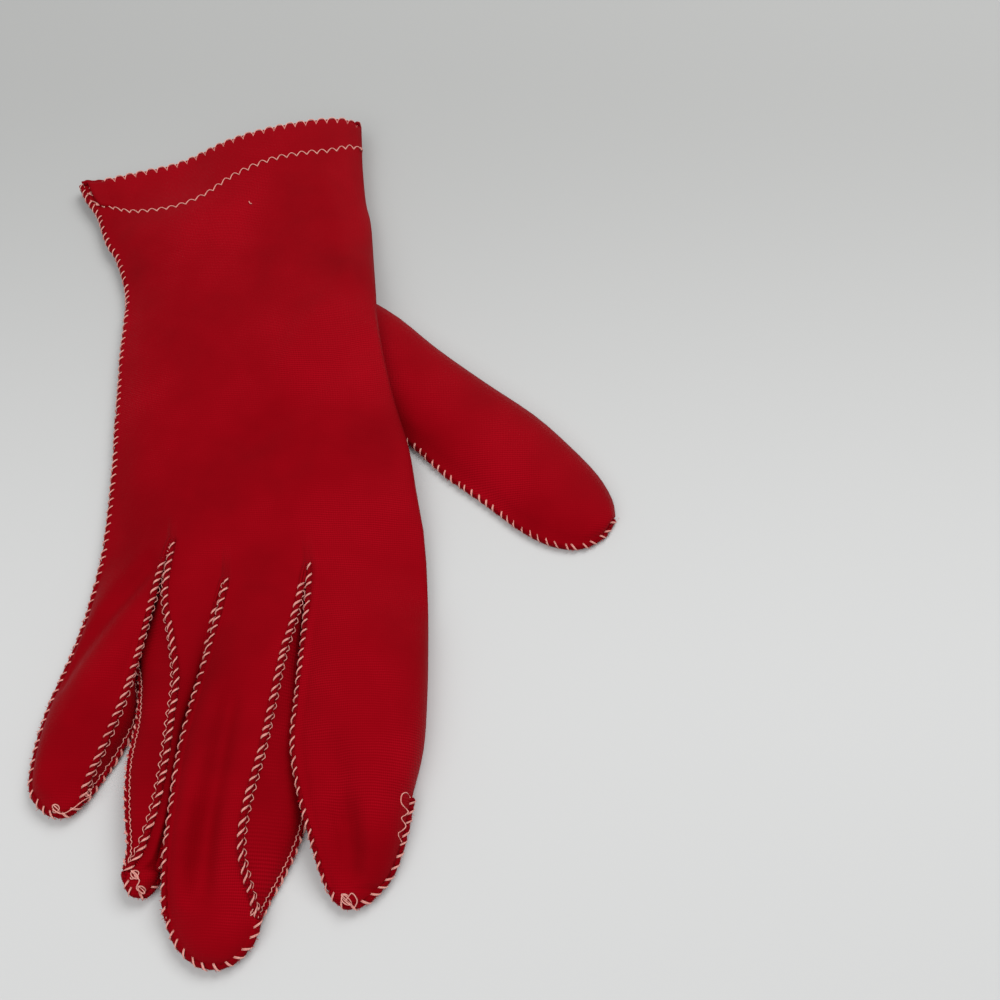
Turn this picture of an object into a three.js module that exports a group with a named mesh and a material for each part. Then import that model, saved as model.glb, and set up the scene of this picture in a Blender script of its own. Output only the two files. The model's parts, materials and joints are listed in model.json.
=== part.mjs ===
// A dress glove for the right hand, in stretch nylon, lying on its palm.
// Millimetres. +Z is up, the cuff points to +Y, the fingers to -Y and the thumb to +X.
// The origin lies on the surface under the glove, below the middle of its outline.
import * as THREE from 'three';

// Cloth
const cloth = 1.0;                        // thickness of the wall
const gap = 0.3;                          // clearance between two pieces
const layer = cloth + gap;                // from the middle of one sheet to the next one on it
const lie = cloth / 2;                    // height of the middle of a sheet that lies on the table

// Seams: both raw edges turn outwards and stand side by side
const ridge = 1.2;                        // height of the raw edges
const beside = layer / 2;                 // from the seam line to the middle of each raw edge
const miter = 1.5;                        // longest corner of a wall, in wall thicknesses

// Fullness of the fingers
const puff = 0.35;                        // how far a strip leaves its seams straight, of its chord
const slackPuff = 0.6;                    // how much of a strip's spare width goes into its bulge
const seamLean = Math.cos(Math.PI * 75 / 180);   // how far a strip leans back from its seam's ridge

// Finger slits and thumb hole
const stripCells = { little: 4, ring: 4, middle: 4, index: 5 };
const gussetCells = 4;
const palmDrop = 10;                      // the palm's slits start this much nearer the fingertips
const crotchDrop = 4;                     // how far the web between two fingers hangs forward
const dropStations = 3;                   // stations over which both drops fade out
const holeFirst = 5.5;                    // rows of the hand where the thumb hole starts and ends
const holeLast = 8.5;
const holeInner = 21;                     // width of the hole towards the palm's middle
const holeOuter = 1.5;                    // and towards the fold
const holeEnd = 1.8;                      // half width of the hole's blunt ends
const hemRows = [0, 0.5, 1];              // rows of the hand that the turned-up band covers

// Sections of the hand, where u runs from 0 at the side seam to 1 at the fold
const seamTurn = 8;                       // how late the back turns down to the side seam
const foldTurn = 10;                      // and how late it turns down to the fold
const crestFrom = 0.3;                    // where the back starts to rise to its crest
const crestUntil = 0.8;                   // and where the crest is
const settle = 0.15;                      // height under which the palm lies quite flat
const edgeColumn = 0.3;                   // column beside the fold, of the way to the thumb hole
const fanFrom = 8.5;                      // row where the columns start to turn to the fingers

// Sections of the fingers
const fingerEase = 2;                     // stations over which their strips become full
const foldBunch = 1.7;                    // how much the points of a strip gather at the fold
const outwards = 0.3;                     // least way that a palm seam's ridge stands outwards
const tipReach = 2;                       // stations from a fingertip back to where its seams aim
const sideFade = 3;                       // stations over which a slit's ridges turn to its sides

// The thumb
const rootGap = 0.6;                      // from the palm's edge to the thumb's root
const rootEnds = { first: 1.4, last: 1.8 };   // the same at the two ends of the hole
const rootDrop = layer + 0.15;            // how far the root hangs below the hole's raised edge
const rootLip = 0.2;                      // how far the root's first end stands out
const rootTurn = 0.4;                     // and its last end
const thumbInset = 0.8;                   // from the folded edge to the thumb's first points
const thumbTurn = 6;                      // how late the thumb's upper side turns down to its edges

// From the tables' own origin to the middle of the finished outline
const middleX = -0.575;
const middleY = -0.595;

// The hand, row by row from the cuff to the knuckles. The seam is the sewn edge on the little
// finger's side and the fold is the folded edge on the thumb's side. middle and crest are the
// heights of the back in the middle of the hand and beside the fold. under is the height of the
// palm beside the fold, where the thumb lies under it, and line is where its hole is centred.
const hand = [
  { seamX: -80.0, seamY: 101.2, seamZ: 3.6, foldX: 5.2, foldY: 122.9, foldZ: 6.4,
    middle: 9.2, crest: 12.6, under: 0.5, line: -12.0 },
  { seamX: -76.6, seamY: 94.8, seamZ: 3.4, foldX: 5.9, foldY: 114.0, foldZ: 6.2,
    middle: 9.2, crest: 12.2, under: 0.5, line: -10.0 },
  { seamX: -72.5, seamY: 89.1, seamZ: 3.2, foldX: 6.6, foldY: 105.3, foldZ: 6.0,
    middle: 9.0, crest: 11.6, under: 0.5, line: -8.0 },
  { seamX: -68.0, seamY: 78.5, seamZ: 3.0, foldX: 8.3, foldY: 92.0, foldZ: 5.6,
    middle: 8.8, crest: 10.8, under: 0.5, line: -4.0 },
  { seamX: -63.6, seamY: 71.5, seamZ: 2.9, foldX: 10.3, foldY: 83.3, foldZ: 5.6,
    middle: 8.8, crest: 10.4, under: 0.7, line: -1.0 },
  { seamX: -58.8, seamY: 58.4, seamZ: 2.8, foldX: 11.9, foldY: 69.4, foldZ: 6.2,
    middle: 8.8, crest: 10.8, under: 1.6, line: 1.5 },
  { seamX: -57.7, seamY: 47.0, seamZ: 2.8, foldX: 13.6, foldY: 55.0, foldZ: 8.4,
    middle: 9.0, crest: 12.2, under: 5.4, line: 4.0 },
  { seamX: -57.0, seamY: 36.5, seamZ: 2.8, foldX: 14.8, foldY: 43.9, foldZ: 9.9,
    middle: 9.2, crest: 13.4, under: 7.7, line: 6.0 },
  { seamX: -55.8, seamY: 25.5, seamZ: 2.8, foldX: 17.5, foldY: 30.1, foldZ: 9.9,
    middle: 9.2, crest: 13.4, under: 7.7, line: 6.6 },
  { seamX: -54.8, seamY: 14.5, seamZ: 2.8, foldX: 20.9, foldY: 17.0, foldZ: 8.2,
    middle: 9.0, crest: 12.0, under: 4.8, line: 7.6 },
  { seamX: -53.4, seamY: 3.0, seamZ: 2.8, foldX: 24.9, foldY: 4.3, foldZ: 6.2,
    middle: 8.8, crest: 10.4, under: 1.9, line: 13.0 },
  { seamX: -52.5, seamY: -8.0, seamZ: 2.8, foldX: 27.2, foldY: -7.9, foldZ: 5.0,
    middle: 8.6, crest: 9.4, under: 0.8, line: 15.5 },
  { seamX: -51.8, seamY: -18.0, seamZ: 2.8, foldX: 29.4, foldY: -19.1, foldZ: 4.5,
    middle: 8.5, crest: 8.9, under: 0.5, line: 17.0 },
];
const handRows = [0, 1, 2, 3, 4, 5, 5.5, 6, 6.5, 7, 7.5, 8, 8.5, 9, 10, 11, 12];

// Each finger, station by station from the knuckles to the tip. yl and yr are where the station
// crosses the finger's left and right edge. The corners of its section are the seams: bl and br
// on the back, pl and pr on the palm, each with its height (blz and so on). wide is the width of
// the cloth between two seams. Where the gussets end, a back and a palm corner become one.
const fingers = {
  little: { left: 'seam', right: 'slit', tip: 7, rows: [
    { yl: -26, yr: -23.5, bl: -51.6, blz: 2.8, br: -34.9, brz: 8.2, pr: -36.3, prz: 1.2, wide: 17 },
    { yl: -34, yr: -34, bl: -52.1, blz: 2.8, br: -36.9, brz: 8.0, pr: -37.0, prz: 1.2, wide: 17 },
    { yl: -45, yr: -45, bl: -53.2, blz: 2.8, br: -38.5, brz: 7.8, pr: -37.4, prz: 1.2, wide: 17 },
    { yl: -56, yr: -56, bl: -55.5, blz: 2.8, br: -39.6, brz: 7.4, pr: -37.6, prz: 1.2, wide: 18 },
    { yl: -66, yr: -66, bl: -57.9, blz: 2.7, br: -40.3, brz: 6.8, pr: -38.0, prz: 1.2, wide: 19 },
    { yl: -75, yr: -75, bl: -59.1, blz: 2.5, br: -42.9, brz: 6.0, pr: -40.8, prz: 1.2, wide: 18 },
    { yl: -84, yr: -84, bl: -58.8, blz: 2.4, br: -46.4, brz: 3.6, pr: -45.4, prz: 1.3, wide: 14 },
    { yl: -86, yr: -86, bl: -57.9, blz: 2.3, br: -46.6, brz: 2.5, wide: 12 },
    { yl: -88.8, yr: -89, bl: -55.2, blz: 2.1, br: -48.6, brz: 2.2, wide: 7 },
    { yl: -90.2, yr: -90.3, bl: -52.8, blz: 2.0, br: -50.6, brz: 2.0, wide: 2 },
  ] },
  ring: { left: 'slit', right: 'slit', tip: 8, rows: [
    { yl: -23.5, yr: -34.5, bl: -32.3, blz: 8.2, br: -20.1, brz: 8.4, pr: -22.3, prz: 1.2,
      pl: -32.7, plz: 1.2, wide: 14, palmWide: 12 },
    { yl: -38, yr: -40, bl: -33.1, blz: 8.2, br: -21.6, brz: 7.8, pr: -23.6, prz: 1.2,
      pl: -33.4, plz: 1.5, wide: 12, palmWide: 11 },
    { yl: -50, yr: -50, bl: -29.8, blz: 8.2, br: -24.0, brz: 6.8, pr: -26.0, prz: 1.2,
      pl: -33.6, plz: 2.4, wide: 7, palmWide: 10 },
    { yl: -60, yr: -60, bl: -27.6, blz: 8.0, br: -25.2, brz: 5.0, pr: -29.0, prz: 1.2,
      pl: -34.0, plz: 3.8, wide: 4, palmWide: 10 },
    { yl: -70, yr: -70, bl: -27.6, blz: 7.8, br: -25.8, brz: 4.6, pr: -31.0, prz: 1.2,
      pl: -35.2, plz: 5.2, wide: 4, palmWide: 11 },
    { yl: -80, yr: -80, bl: -27.7, blz: 7.6, br: -26.0, brz: 4.4, pr: -32.5, prz: 1.2,
      pl: -35.6, plz: 6.0, wide: 4, palmWide: 13 },
    { yl: -90, yr: -90, bl: -28.4, blz: 7.2, br: -26.2, brz: 4.2, pr: -32.0, prz: 1.2,
      pl: -34.4, plz: 6.2, wide: 5, palmWide: 13 },
    { yl: -100, yr: -100, bl: -30.2, blz: 6.4, br: -28.4, brz: 2.8, pr: -30.6, prz: 1.3,
      pl: -32.2, plz: 6.0, wide: 10, palmWide: 13 },
    { yl: -103, yr: -103, bl: -31.3, blz: 5.6, br: -30.4, brz: 1.6, wide: 12, palmWide: 12 },
    { yl: -106, yr: -106, bl: -31.2, blz: 4.6, br: -30.8, brz: 1.9, wide: 10, palmWide: 10 },
    { yl: -107.8, yr: -107.8, bl: -31.2, blz: 3.6, br: -31.0, brz: 2.6, wide: 2, palmWide: 2 },
  ] },
  middle: { left: 'slit', right: 'slit', tip: 8, rows: [
    { yl: -34.5, yr: -30.5, bl: -17.5, blz: 8.4, br: 0.1, brz: 8.6, pr: 0.7, prz: 1.2,
      pl: -18.7, plz: 1.2, wide: 18 },
    { yl: -43, yr: -43, bl: -18.9, blz: 8.4, br: -0.6, brz: 8.6, pr: 0.9, prz: 1.2,
      pl: -18.6, plz: 1.2, wide: 18 },
    { yl: -54, yr: -54, bl: -20.4, blz: 8.0, br: -2.8, brz: 8.6, pr: 1.6, prz: 1.2,
      pl: -19.2, plz: 1.2, wide: 18 },
    { yl: -66, yr: -66, bl: -22.3, blz: 7.6, br: -4.2, brz: 8.6, pr: 2.6, prz: 1.2,
      pl: -19.8, plz: 1.2, wide: 18 },
    { yl: -78, yr: -78, bl: -23.8, blz: 7.4, br: -5.6, brz: 8.6, pr: 3.6, prz: 1.3,
      pl: -20.2, plz: 1.2, wide: 18 },
    { yl: -90, yr: -90, bl: -24.0, blz: 7.2, br: -7.7, brz: 8.4, pr: 4.0, prz: 1.4,
      pl: -20.4, plz: 1.2, wide: 18 },
    { yl: -100, yr: -100, bl: -24.1, blz: 6.6, br: -8.0, brz: 7.6, pr: 1.6, prz: 1.5,
      pl: -20.8, plz: 1.2, wide: 18 },
    { yl: -110, yr: -110, bl: -23.7, blz: 4.0, br: -5.0, brz: 4.3, pr: -3.0, prz: 1.6,
      pl: -22.8, plz: 1.5, wide: 19 },
    { yl: -113.5, yr: -113.5, bl: -22.8, blz: 2.8, br: -4.0, brz: 3.0, wide: 19 },
    { yl: -118, yr: -118, bl: -20.3, blz: 2.6, br: -5.2, brz: 2.7, wide: 15 },
    { yl: -121, yr: -121.3, bl: -17.0, blz: 2.3, br: -8.4, brz: 2.3, wide: 9 },
    { yl: -122.3, yr: -122.4, bl: -14.2, blz: 2.1, br: -11.2, brz: 2.1, wide: 3 },
  ] },
  index: { left: 'slit', right: 'fold', tip: 8, seamFrom: 6, rows: [
    { yl: -30.5, yr: -28, bl: 2.7, blz: 8.6, br: 30.4, brz: 4.2, pl: 4.3, plz: 1.2, wide: 28 },
    { yl: -40, yr: -40, bl: 2.4, blz: 8.2, br: 31.2, brz: 4.0, pl: 5.0, plz: 1.2, wide: 29 },
    { yl: -52, yr: -52, bl: 2.3, blz: 7.8, br: 31.6, brz: 3.9, pl: 6.2, plz: 1.2, wide: 29 },
    { yl: -64, yr: -64, bl: 2.2, blz: 7.6, br: 31.7, brz: 3.8, pl: 7.0, plz: 1.2, wide: 29 },
    { yl: -76, yr: -76, bl: 2.2, blz: 7.3, br: 31.2, brz: 3.7, pl: 7.6, plz: 1.2, wide: 28 },
    { yl: -87, yr: -87, bl: 4.7, blz: 6.8, br: 28.9, brz: 3.4, pl: 8.4, plz: 1.2, wide: 24 },
    { yl: -96, yr: -96, bl: 7.7, blz: 5.8, br: 27.2, brz: 3.0, pl: 9.8, plz: 1.2, wide: 20 },
    { yl: -103.5, yr: -103.5, bl: 10.4, blz: 3.6, br: 24.8, brz: 2.6, pl: 11.4, plz: 1.4, wide: 15 },
    { yl: -106, yr: -106, bl: 11.6, blz: 2.4, br: 22.9, brz: 2.4, wide: 12 },
    { yl: -108.6, yr: -108.6, bl: 13.4, blz: 2.1, br: 20.2, brz: 2.1, wide: 7 },
    { yl: -110, yr: -110, bl: 15.4, blz: 2.0, br: 17.6, brz: 2.0, wide: 2 },
  ] },
};
const order = ['little', 'ring', 'middle', 'index'];

// The thumb from under the fold to its tip: its folded edge (upper) and its sewn edge (lower), and
// the height of the cloth between them.
const thumbRows = [
  { upperX: 10.0, upperY: 59.0, lowerX: 16.0, lowerY: 16.0, high: 5.7 },
  { upperX: 19.4, upperY: 50.4, lowerX: 25.8, lowerY: 9.5, high: 5.8 },
  { upperX: 30.4, upperY: 39.2, lowerX: 35.6, lowerY: -0.3, high: 6.2 },
  { upperX: 44.2, upperY: 27.8, lowerX: 46.0, lowerY: -8.5, high: 6.2 },
  { upperX: 58.2, upperY: 17.6, lowerX: 54.0, lowerY: -15.2, high: 6.0 },
  { upperX: 68.0, upperY: 8.6, lowerX: 61.0, lowerY: -19.6, high: 5.6 },
  { upperX: 75.4, upperY: -0.6, lowerX: 67.0, lowerY: -21.4, high: 5.0 },
  { upperX: 79.0, upperY: -8.0, lowerX: 72.0, lowerY: -21.0, high: 4.2 },
  { upperX: 79.6, upperY: -13.0, lowerX: 76.2, lowerY: -18.4, high: 3.0 },
];

const mix = (a, b, t) => a + (b - a) * t;
const vec = (x, y, z) => new THREE.Vector3(x, y, z);
const clamp = (t) => Math.min(1, Math.max(0, t));
const smooth = (t) => clamp(t) ** 2 * (3 - 2 * clamp(t));

// A row of a table between its rows, smoothly through every named column
function rowAt(table, t) {
  const i = Math.min(Math.floor(t), table.length - 2);
  const f = t - i;
  const [a, b, c, d] = [-1, 0, 1, 2].map((k) => table[Math.min(Math.max(i + k, 0), table.length - 1)]);
  const row = {};
  for (const name of Object.keys(b)) {
    const slopeB = (c[name] - a[name]) / 2;
    const slopeC = (d[name] - b[name]) / 2;
    const rise = c[name] - b[name];
    row[name] = b[name] + f * slopeB + f * f * (3 * rise - 2 * slopeB - slopeC)
      + f ** 3 * (slopeB + slopeC - 2 * rise);
  }
  return row;
}

// A sheet of cloth as the middle of its wall: points, and faces that run anticlockwise outside
class Sheet {
  constructor() {
    this.points = [];
    this.faces = [];
  }

  add(point) {
    this.points.push(point);
    return this.points.length - 1;
  }

  // A face, where corners that fall together count once
  face(...corners) {
    const apart = corners.filter((corner, k) => corner !== corners[(k + 1) % corners.length]);
    if (apart.length > 2) this.faces.push(apart);
  }

  // Faces between two rows of points
  strip(upper, lower, flip = false) {
    for (let i = 0; i + 1 < upper.length; i += 1) {
      const corners = [upper[i], lower[i], lower[i + 1], upper[i + 1]];
      this.face(...(flip ? corners.reverse() : corners));
    }
  }
}

// The way out of a sheet at each of its points, long enough to keep the wall's thickness in corners
function wallNormals(sheet) {
  const normals = sheet.points.map(() => vec(0, 0, 0));
  const touching = sheet.points.map(() => []);
  for (const corners of sheet.faces) {
    const across = corners.map((i) => sheet.points[i]);
    const end = across.length - 1;
    const normal = across[2].clone().sub(across[0])
      .cross(across[end].clone().sub(across[end - 2])).normalize();
    corners.forEach((i, k) => {
      const next = across[(k + 1) % across.length].clone().sub(across[k]);
      const last = across[(k + end) % across.length].clone().sub(across[k]);
      normals[i].addScaledVector(normal, next.angleTo(last));
      touching[i].push(normal);
    });
  }
  return normals.map((normal, i) => {
    normal.normalize();
    const least = Math.min(...touching[i].map((face) => face.dot(normal)));
    return normal.multiplyScalar(Math.min(miter, 1 / Math.max(least, 0.1)));
  });
}

// The closed solid of a sheet: both sides of the wall and a rim along each open edge
function thicken(sheet) {
  const normals = wallNormals(sheet);
  const outer = sheet.points.map((point, i) => point.clone().addScaledVector(normals[i], cloth / 2));
  const inner = sheet.points.map((point, i) => point.clone().addScaledVector(normals[i], -cloth / 2));
  for (const point of [...outer, ...inner]) point.z = Math.max(point.z, 0);
  const count = outer.length;
  const index = [];
  const open = new Map();
  for (const corners of sheet.faces) {
    for (let k = 1; k + 1 < corners.length; k += 1) {
      index.push(corners[0], corners[k], corners[k + 1]);
      index.push(corners[0] + count, corners[k + 1] + count, corners[k] + count);
    }
    corners.forEach((a, k) => {
      const b = corners[(k + 1) % corners.length];
      if (open.has(`${b} ${a}`)) open.delete(`${b} ${a}`);
      else open.set(`${a} ${b}`, [a, b]);
    });
  }
  for (const [a, b] of open.values()) {
    index.push(b, a, a + count);
    index.push(b, a + count, b + count);
  }
  const geometry = new THREE.BufferGeometry();
  geometry.setFromPoints([...outer, ...inner]);
  geometry.setIndex(index);
  return geometry;
}

// The points of a seam with, at each, the way its ridge stands and the side its first sheet is on
function seamFrames(points, outward, flip = 1) {
  return points.map((point, i) => {
    const before = points[Math.max(i - 1, 0)];
    const after = points[Math.min(i + 1, points.length - 1)];
    const one = point.clone().sub(before).normalize();
    const two = after.clone().sub(point).normalize();
    const along = one.clone().add(two).normalize();
    const up = outward[i].clone().addScaledVector(along, -outward[i].dot(along)).normalize();
    const side = up.clone().cross(along).multiplyScalar(flip);
    const turn = i > 0 && i < points.length - 1 ? Math.max(along.dot(one), 1 / miter) : 1;
    return { point, up, side, reach: beside / turn };
  });
}

const sewn = (frame, which) => frame.point.clone().addScaledVector(frame.side, frame.reach * which);

// A strip of cloth between two places, full where it leaves its seams
function bulge(from, to, fromWay, toWay, wide, cells, full, spacing = (t) => t) {
  const chord = to.clone().sub(from);
  const length = chord.length();
  const handle = puff * length + slackPuff * Math.max(0, wide - length);
  const straight = chord.clone().multiplyScalar(1 / 3);
  const a = straight.clone().lerp(fromWay.clone().multiplyScalar(handle), full).add(from);
  const b = straight.clone().negate().lerp(toWay.clone().multiplyScalar(handle), full).add(to);
  const curve = new THREE.CubicBezierCurve3(from, a, b, to);
  const points = [];
  for (let i = 0; i <= cells; i += 1) {
    const point = curve.getPoint(spacing(i / cells));
    point.z = Math.max(point.z, lie);
    points.push(point);
  }
  return points;
}

// The corners of a finger's section at every station, and the way each one's ridge stands
function corners(finger) {
  const last = finger.rows.length - 1;
  const joined = (k) => k >= finger.tip;
  return finger.rows.map((row, k) => {
    const drop = palmDrop * clamp(1 - k / dropStations) ** 2;
    const bl = vec(row.bl, row.yl, row.blz);
    const br = vec(row.br, row.yr, row.brz);
    const pl = row.pl === undefined ? bl.clone() : vec(row.pl, row.yl - drop, row.plz);
    const pr = row.pr === undefined ? br.clone() : vec(row.pr, row.yr - drop, row.prz);
    const flat = (a, b) => vec(a.x - b.x, 0, a.z - b.z).normalize();
    const ways = {
      bl: flat(bl, br).add(flat(bl, pl)),
      br: flat(br, bl).add(flat(br, pr)),
      pr: flat(pr, pl).add(flat(pr, br)),
      pl: flat(pl, pr).add(flat(pl, bl)),
    };
    ways.pr.set(Math.max(ways.pr.x, outwards), 0, Math.max(ways.pr.z, 0));
    ways.pl.set(Math.min(ways.pl.x, -outwards), 0, Math.max(ways.pl.z, 0));
    const back = finger.rows[Math.max(k - tipReach, 0)];
    const heart = vec((back.bl + back.br) / 2, back.yl, (row.blz + row.brz) / 2);
    const tipWay = (point) => point.clone().sub(heart).normalize();
    if (joined(k) || finger.left === 'seam') ways.bl = joined(k) ? tipWay(bl) : vec(-1, 0, 0);
    if (joined(k) || finger.left === 'seam') ways.pl = ways.bl;
    if (joined(k)) ways.br = tipWay(br);
    if (joined(k) || finger.right === 'fold') ways.pr = ways.br;
    if (finger.right === 'fold' && !joined(k)) ways.br = vec(1, 0, 0);
    if (finger.right === 'fold' && !joined(k)) ways.pr = vec(1, 0, 0);
    return { bl, br, pl, pr, ways, joined: joined(k), last: k === last, tipWay,
      wide: row.wide, palmWide: row.palmWide ?? row.wide };
  });
}

// Everything that the sheets share: sections, and the frames of the seams that join them
const sections = Object.fromEntries(order.map((name) => [name, corners(fingers[name])]));

// The seams of the slit between two fingers, down the first finger's side from its tip to the fork
// and up the second's: one on the back and one on the palm
function slitSeams(first, second) {
  const a = sections[first].slice(0, fingers[first].tip).reverse();
  const b = sections[second].slice(0, fingers[second].tip);
  const up = vec(0, 0, 1);
  const onBack = (section, name, k) => section.ways[name].clone()
    .lerp(up, clamp(1 - k / sideFade)).normalize();
  const onPalm = (section, name, k) => section.ways[name].clone().add(vec(0, k === 0 ? -1 : 0, 0));
  const stationOf = (i) => (i < a.length ? a.length - 1 - i : i - a.length);
  const both = [...a.map((section) => [section, 'r']), ...b.map((section) => [section, 'l'])];
  const points = (side) => both.map(([section, end]) => section[side + end]);
  const ways = (side, way) => both.map(([section, end], i) => way(section, side + end, stationOf(i)));
  return {
    stations: both.map((_, i) => stationOf(i)),
    sections: both,
    back: seamFrames(points('b'), ways('b', onBack)),
    palm: seamFrames(points('p'), ways('p', onPalm), -1),
    apex: a.length,
  };
}
const slits = [0, 1, 2].map((i) => slitSeams(order[i], order[i + 1]));

// The way a strip leaves a seam, in its section: beside the ridge and a little back from it. Round
// the section clockwise, turn is 1 at the seam where a strip starts and -1 at the one where it ends.
function leave(way, turn) {
  const side = vec(way.z * turn, 0, -way.x * turn).normalize();
  return side.multiplyScalar(Math.sqrt(1 - seamLean ** 2)).addScaledVector(way, -seamLean).normalize();
}

const knuckles = { seamX: -51.6, seamY: -26, foldX: 30.4, foldY: -28 };
const knuckleRow = hand.length;
const fanned = (t) => smooth((t - fanFrom) / (knuckleRow - fanFrom));
const towardsFold = (t) => 1 - (1 - t) ** foldBunch;

// The points of the hand's back or palm in one row, between the side seam and the fold
function handPoint(row, u, onPalm, pair) {
  const nearSeam = 1 - (1 - u) ** seamTurn;
  const nearFold = Math.sqrt(1 - Math.min(u, 1) ** foldTurn);
  const flat = onPalm
    ? mix(lie, row.under, clamp((u - pair[1]) / (pair[0] - pair[1])))
    : mix(row.middle, row.crest, smooth((u - crestFrom) / (crestUntil - crestFrom)));
  const high = mix(row.seamZ, mix(row.foldZ, flat, nearFold), nearSeam);
  const z = onPalm && high < lie + settle ? lie : high;
  return vec(mix(row.seamX, row.foldX, u), mix(row.seamY, row.foldY, u), z);
}

// Where the hand's columns run in a row: u is 0 at the side seam and 1 at the fold
function columnsOf(t, knuckleU, onPalm) {
  const row = rowAt(hand, t);
  const last = knuckleU.length - 1;
  const width = row.foldX - row.seamX;
  const along = (2 * t - holeFirst - holeLast) / (holeLast - holeFirst);
  const open = Math.sqrt(Math.max(0, 1 - along ** 2));
  const holeFold = (row.line + holeEnd + holeOuter * open - row.seamX) / width;
  const holePalm = (row.line - holeEnd - holeInner * open - row.seamX) / width;
  return knuckleU.map((atKnuckle, c) => {
    let u = c / last;
    if (onPalm && c < 2) u = [1, mix(1, holeFold, edgeColumn)][c];
    if (onPalm && c === 2) u = holeFold;
    if (onPalm && c > 2) u = holePalm * (1 - (c - 3) / (last - 3));
    return mix(u, atKnuckle, onPalm ? fanned(t) : smooth(t / knuckleRow));
  });
}

// One row of the hand: its points on the back, from the side seam, or on the palm, from the fold
function handRow(t, knucklePoints, onPalm) {
  const row = rowAt(hand, t);
  const uOf = (point) => (point.x - knuckles.seamX) / (knuckles.foldX - knuckles.seamX);
  const knuckleU = knucklePoints.map(uOf);
  const us = columnsOf(t, knuckleU, onPalm);
  return us.map((u, c) => {
    const point = handPoint(row, u, onPalm, [us[2], us[3]]);
    const straight = mix(knuckles.seamY, knuckles.foldY, knuckleU[c]);
    point.y += (knucklePoints[c].y - straight) * fanned(t) ** 3;
    return point;
  });
}

// The back and palm of one finger at one station, the back from left to right and the palm back
function fingerStrips(name, k, ends) {
  const section = sections[name][k];
  const cells = stripCells[name];
  const full = section.last ? 0 : smooth(k / fingerEase);
  const way = ({ frame, slit }, which, corner) => {
    if (!frame) return vec(0, 0, which);
    if (slit) return leave(section.ways[corner], corner === 'bl' || corner === 'pr' ? 1 : -1);
    return frame.side.clone().multiplyScalar(which * Math.sqrt(1 - seamLean ** 2))
      .addScaledVector(frame.up, -seamLean);
  };
  const spacing = fingers[name].right === 'fold' && !section.joined ? towardsFold : (t) => t;
  const strip = (a, b, which, wide, map) => bulge(ends[a].point, ends[b].point,
    way(ends[a], which, a), way(ends[b], which, b), wide, cells, full, map);
  const back = strip('bl', 'br', 1, section.wide, spacing);
  const palm = strip('pr', 'pl', -1, section.palmWide, (t) => 1 - spacing(1 - t));
  return { back, palm };
}

// The joined seam round a fingertip, as frames from its left side over its end to its right side
function tipSeam(name, lead = []) {
  const all = sections[name];
  const finger = fingers[name];
  const last = all[all.length - 1];
  const first = finger.left === 'seam' ? 0 : finger.tip;
  const until = finger.seamFrom === undefined ? finger.tip : finger.seamFrom;
  const down = all.slice(first).map((section) => [section.bl, section.ways.bl]);
  const over = [];
  for (let c = 1; c < stripCells[name]; c += 1) {
    const point = last.bl.clone().lerp(last.br, c / stripCells[name]);
    over.push([point, last.tipWay(point)]);
  }
  const up = all.slice(until).reverse().map((section) => [section.br, section.joined
    ? section.ways.br : vec(1, 0, 0)]);
  const line = [...lead, ...down, ...over, ...up];
  const frames = seamFrames(line.map(([point]) => point), line.map(([, way]) => way));
  const start = lead.length;
  return {
    lead: frames.slice(0, start),
    left: Object.fromEntries(down.map((_, i) => [first + i, frames[start + i]])),
    over: frames.slice(start + down.length - 1, start + down.length + over.length + 1),
    right: Object.fromEntries(up.map((_, i) => [all.length - 1 - i,
      frames[start + down.length + over.length + i]])),
  };
}

const ridgeTip = (frame, which) => sewn(frame, which).addScaledVector(frame.up, ridge);

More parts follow.
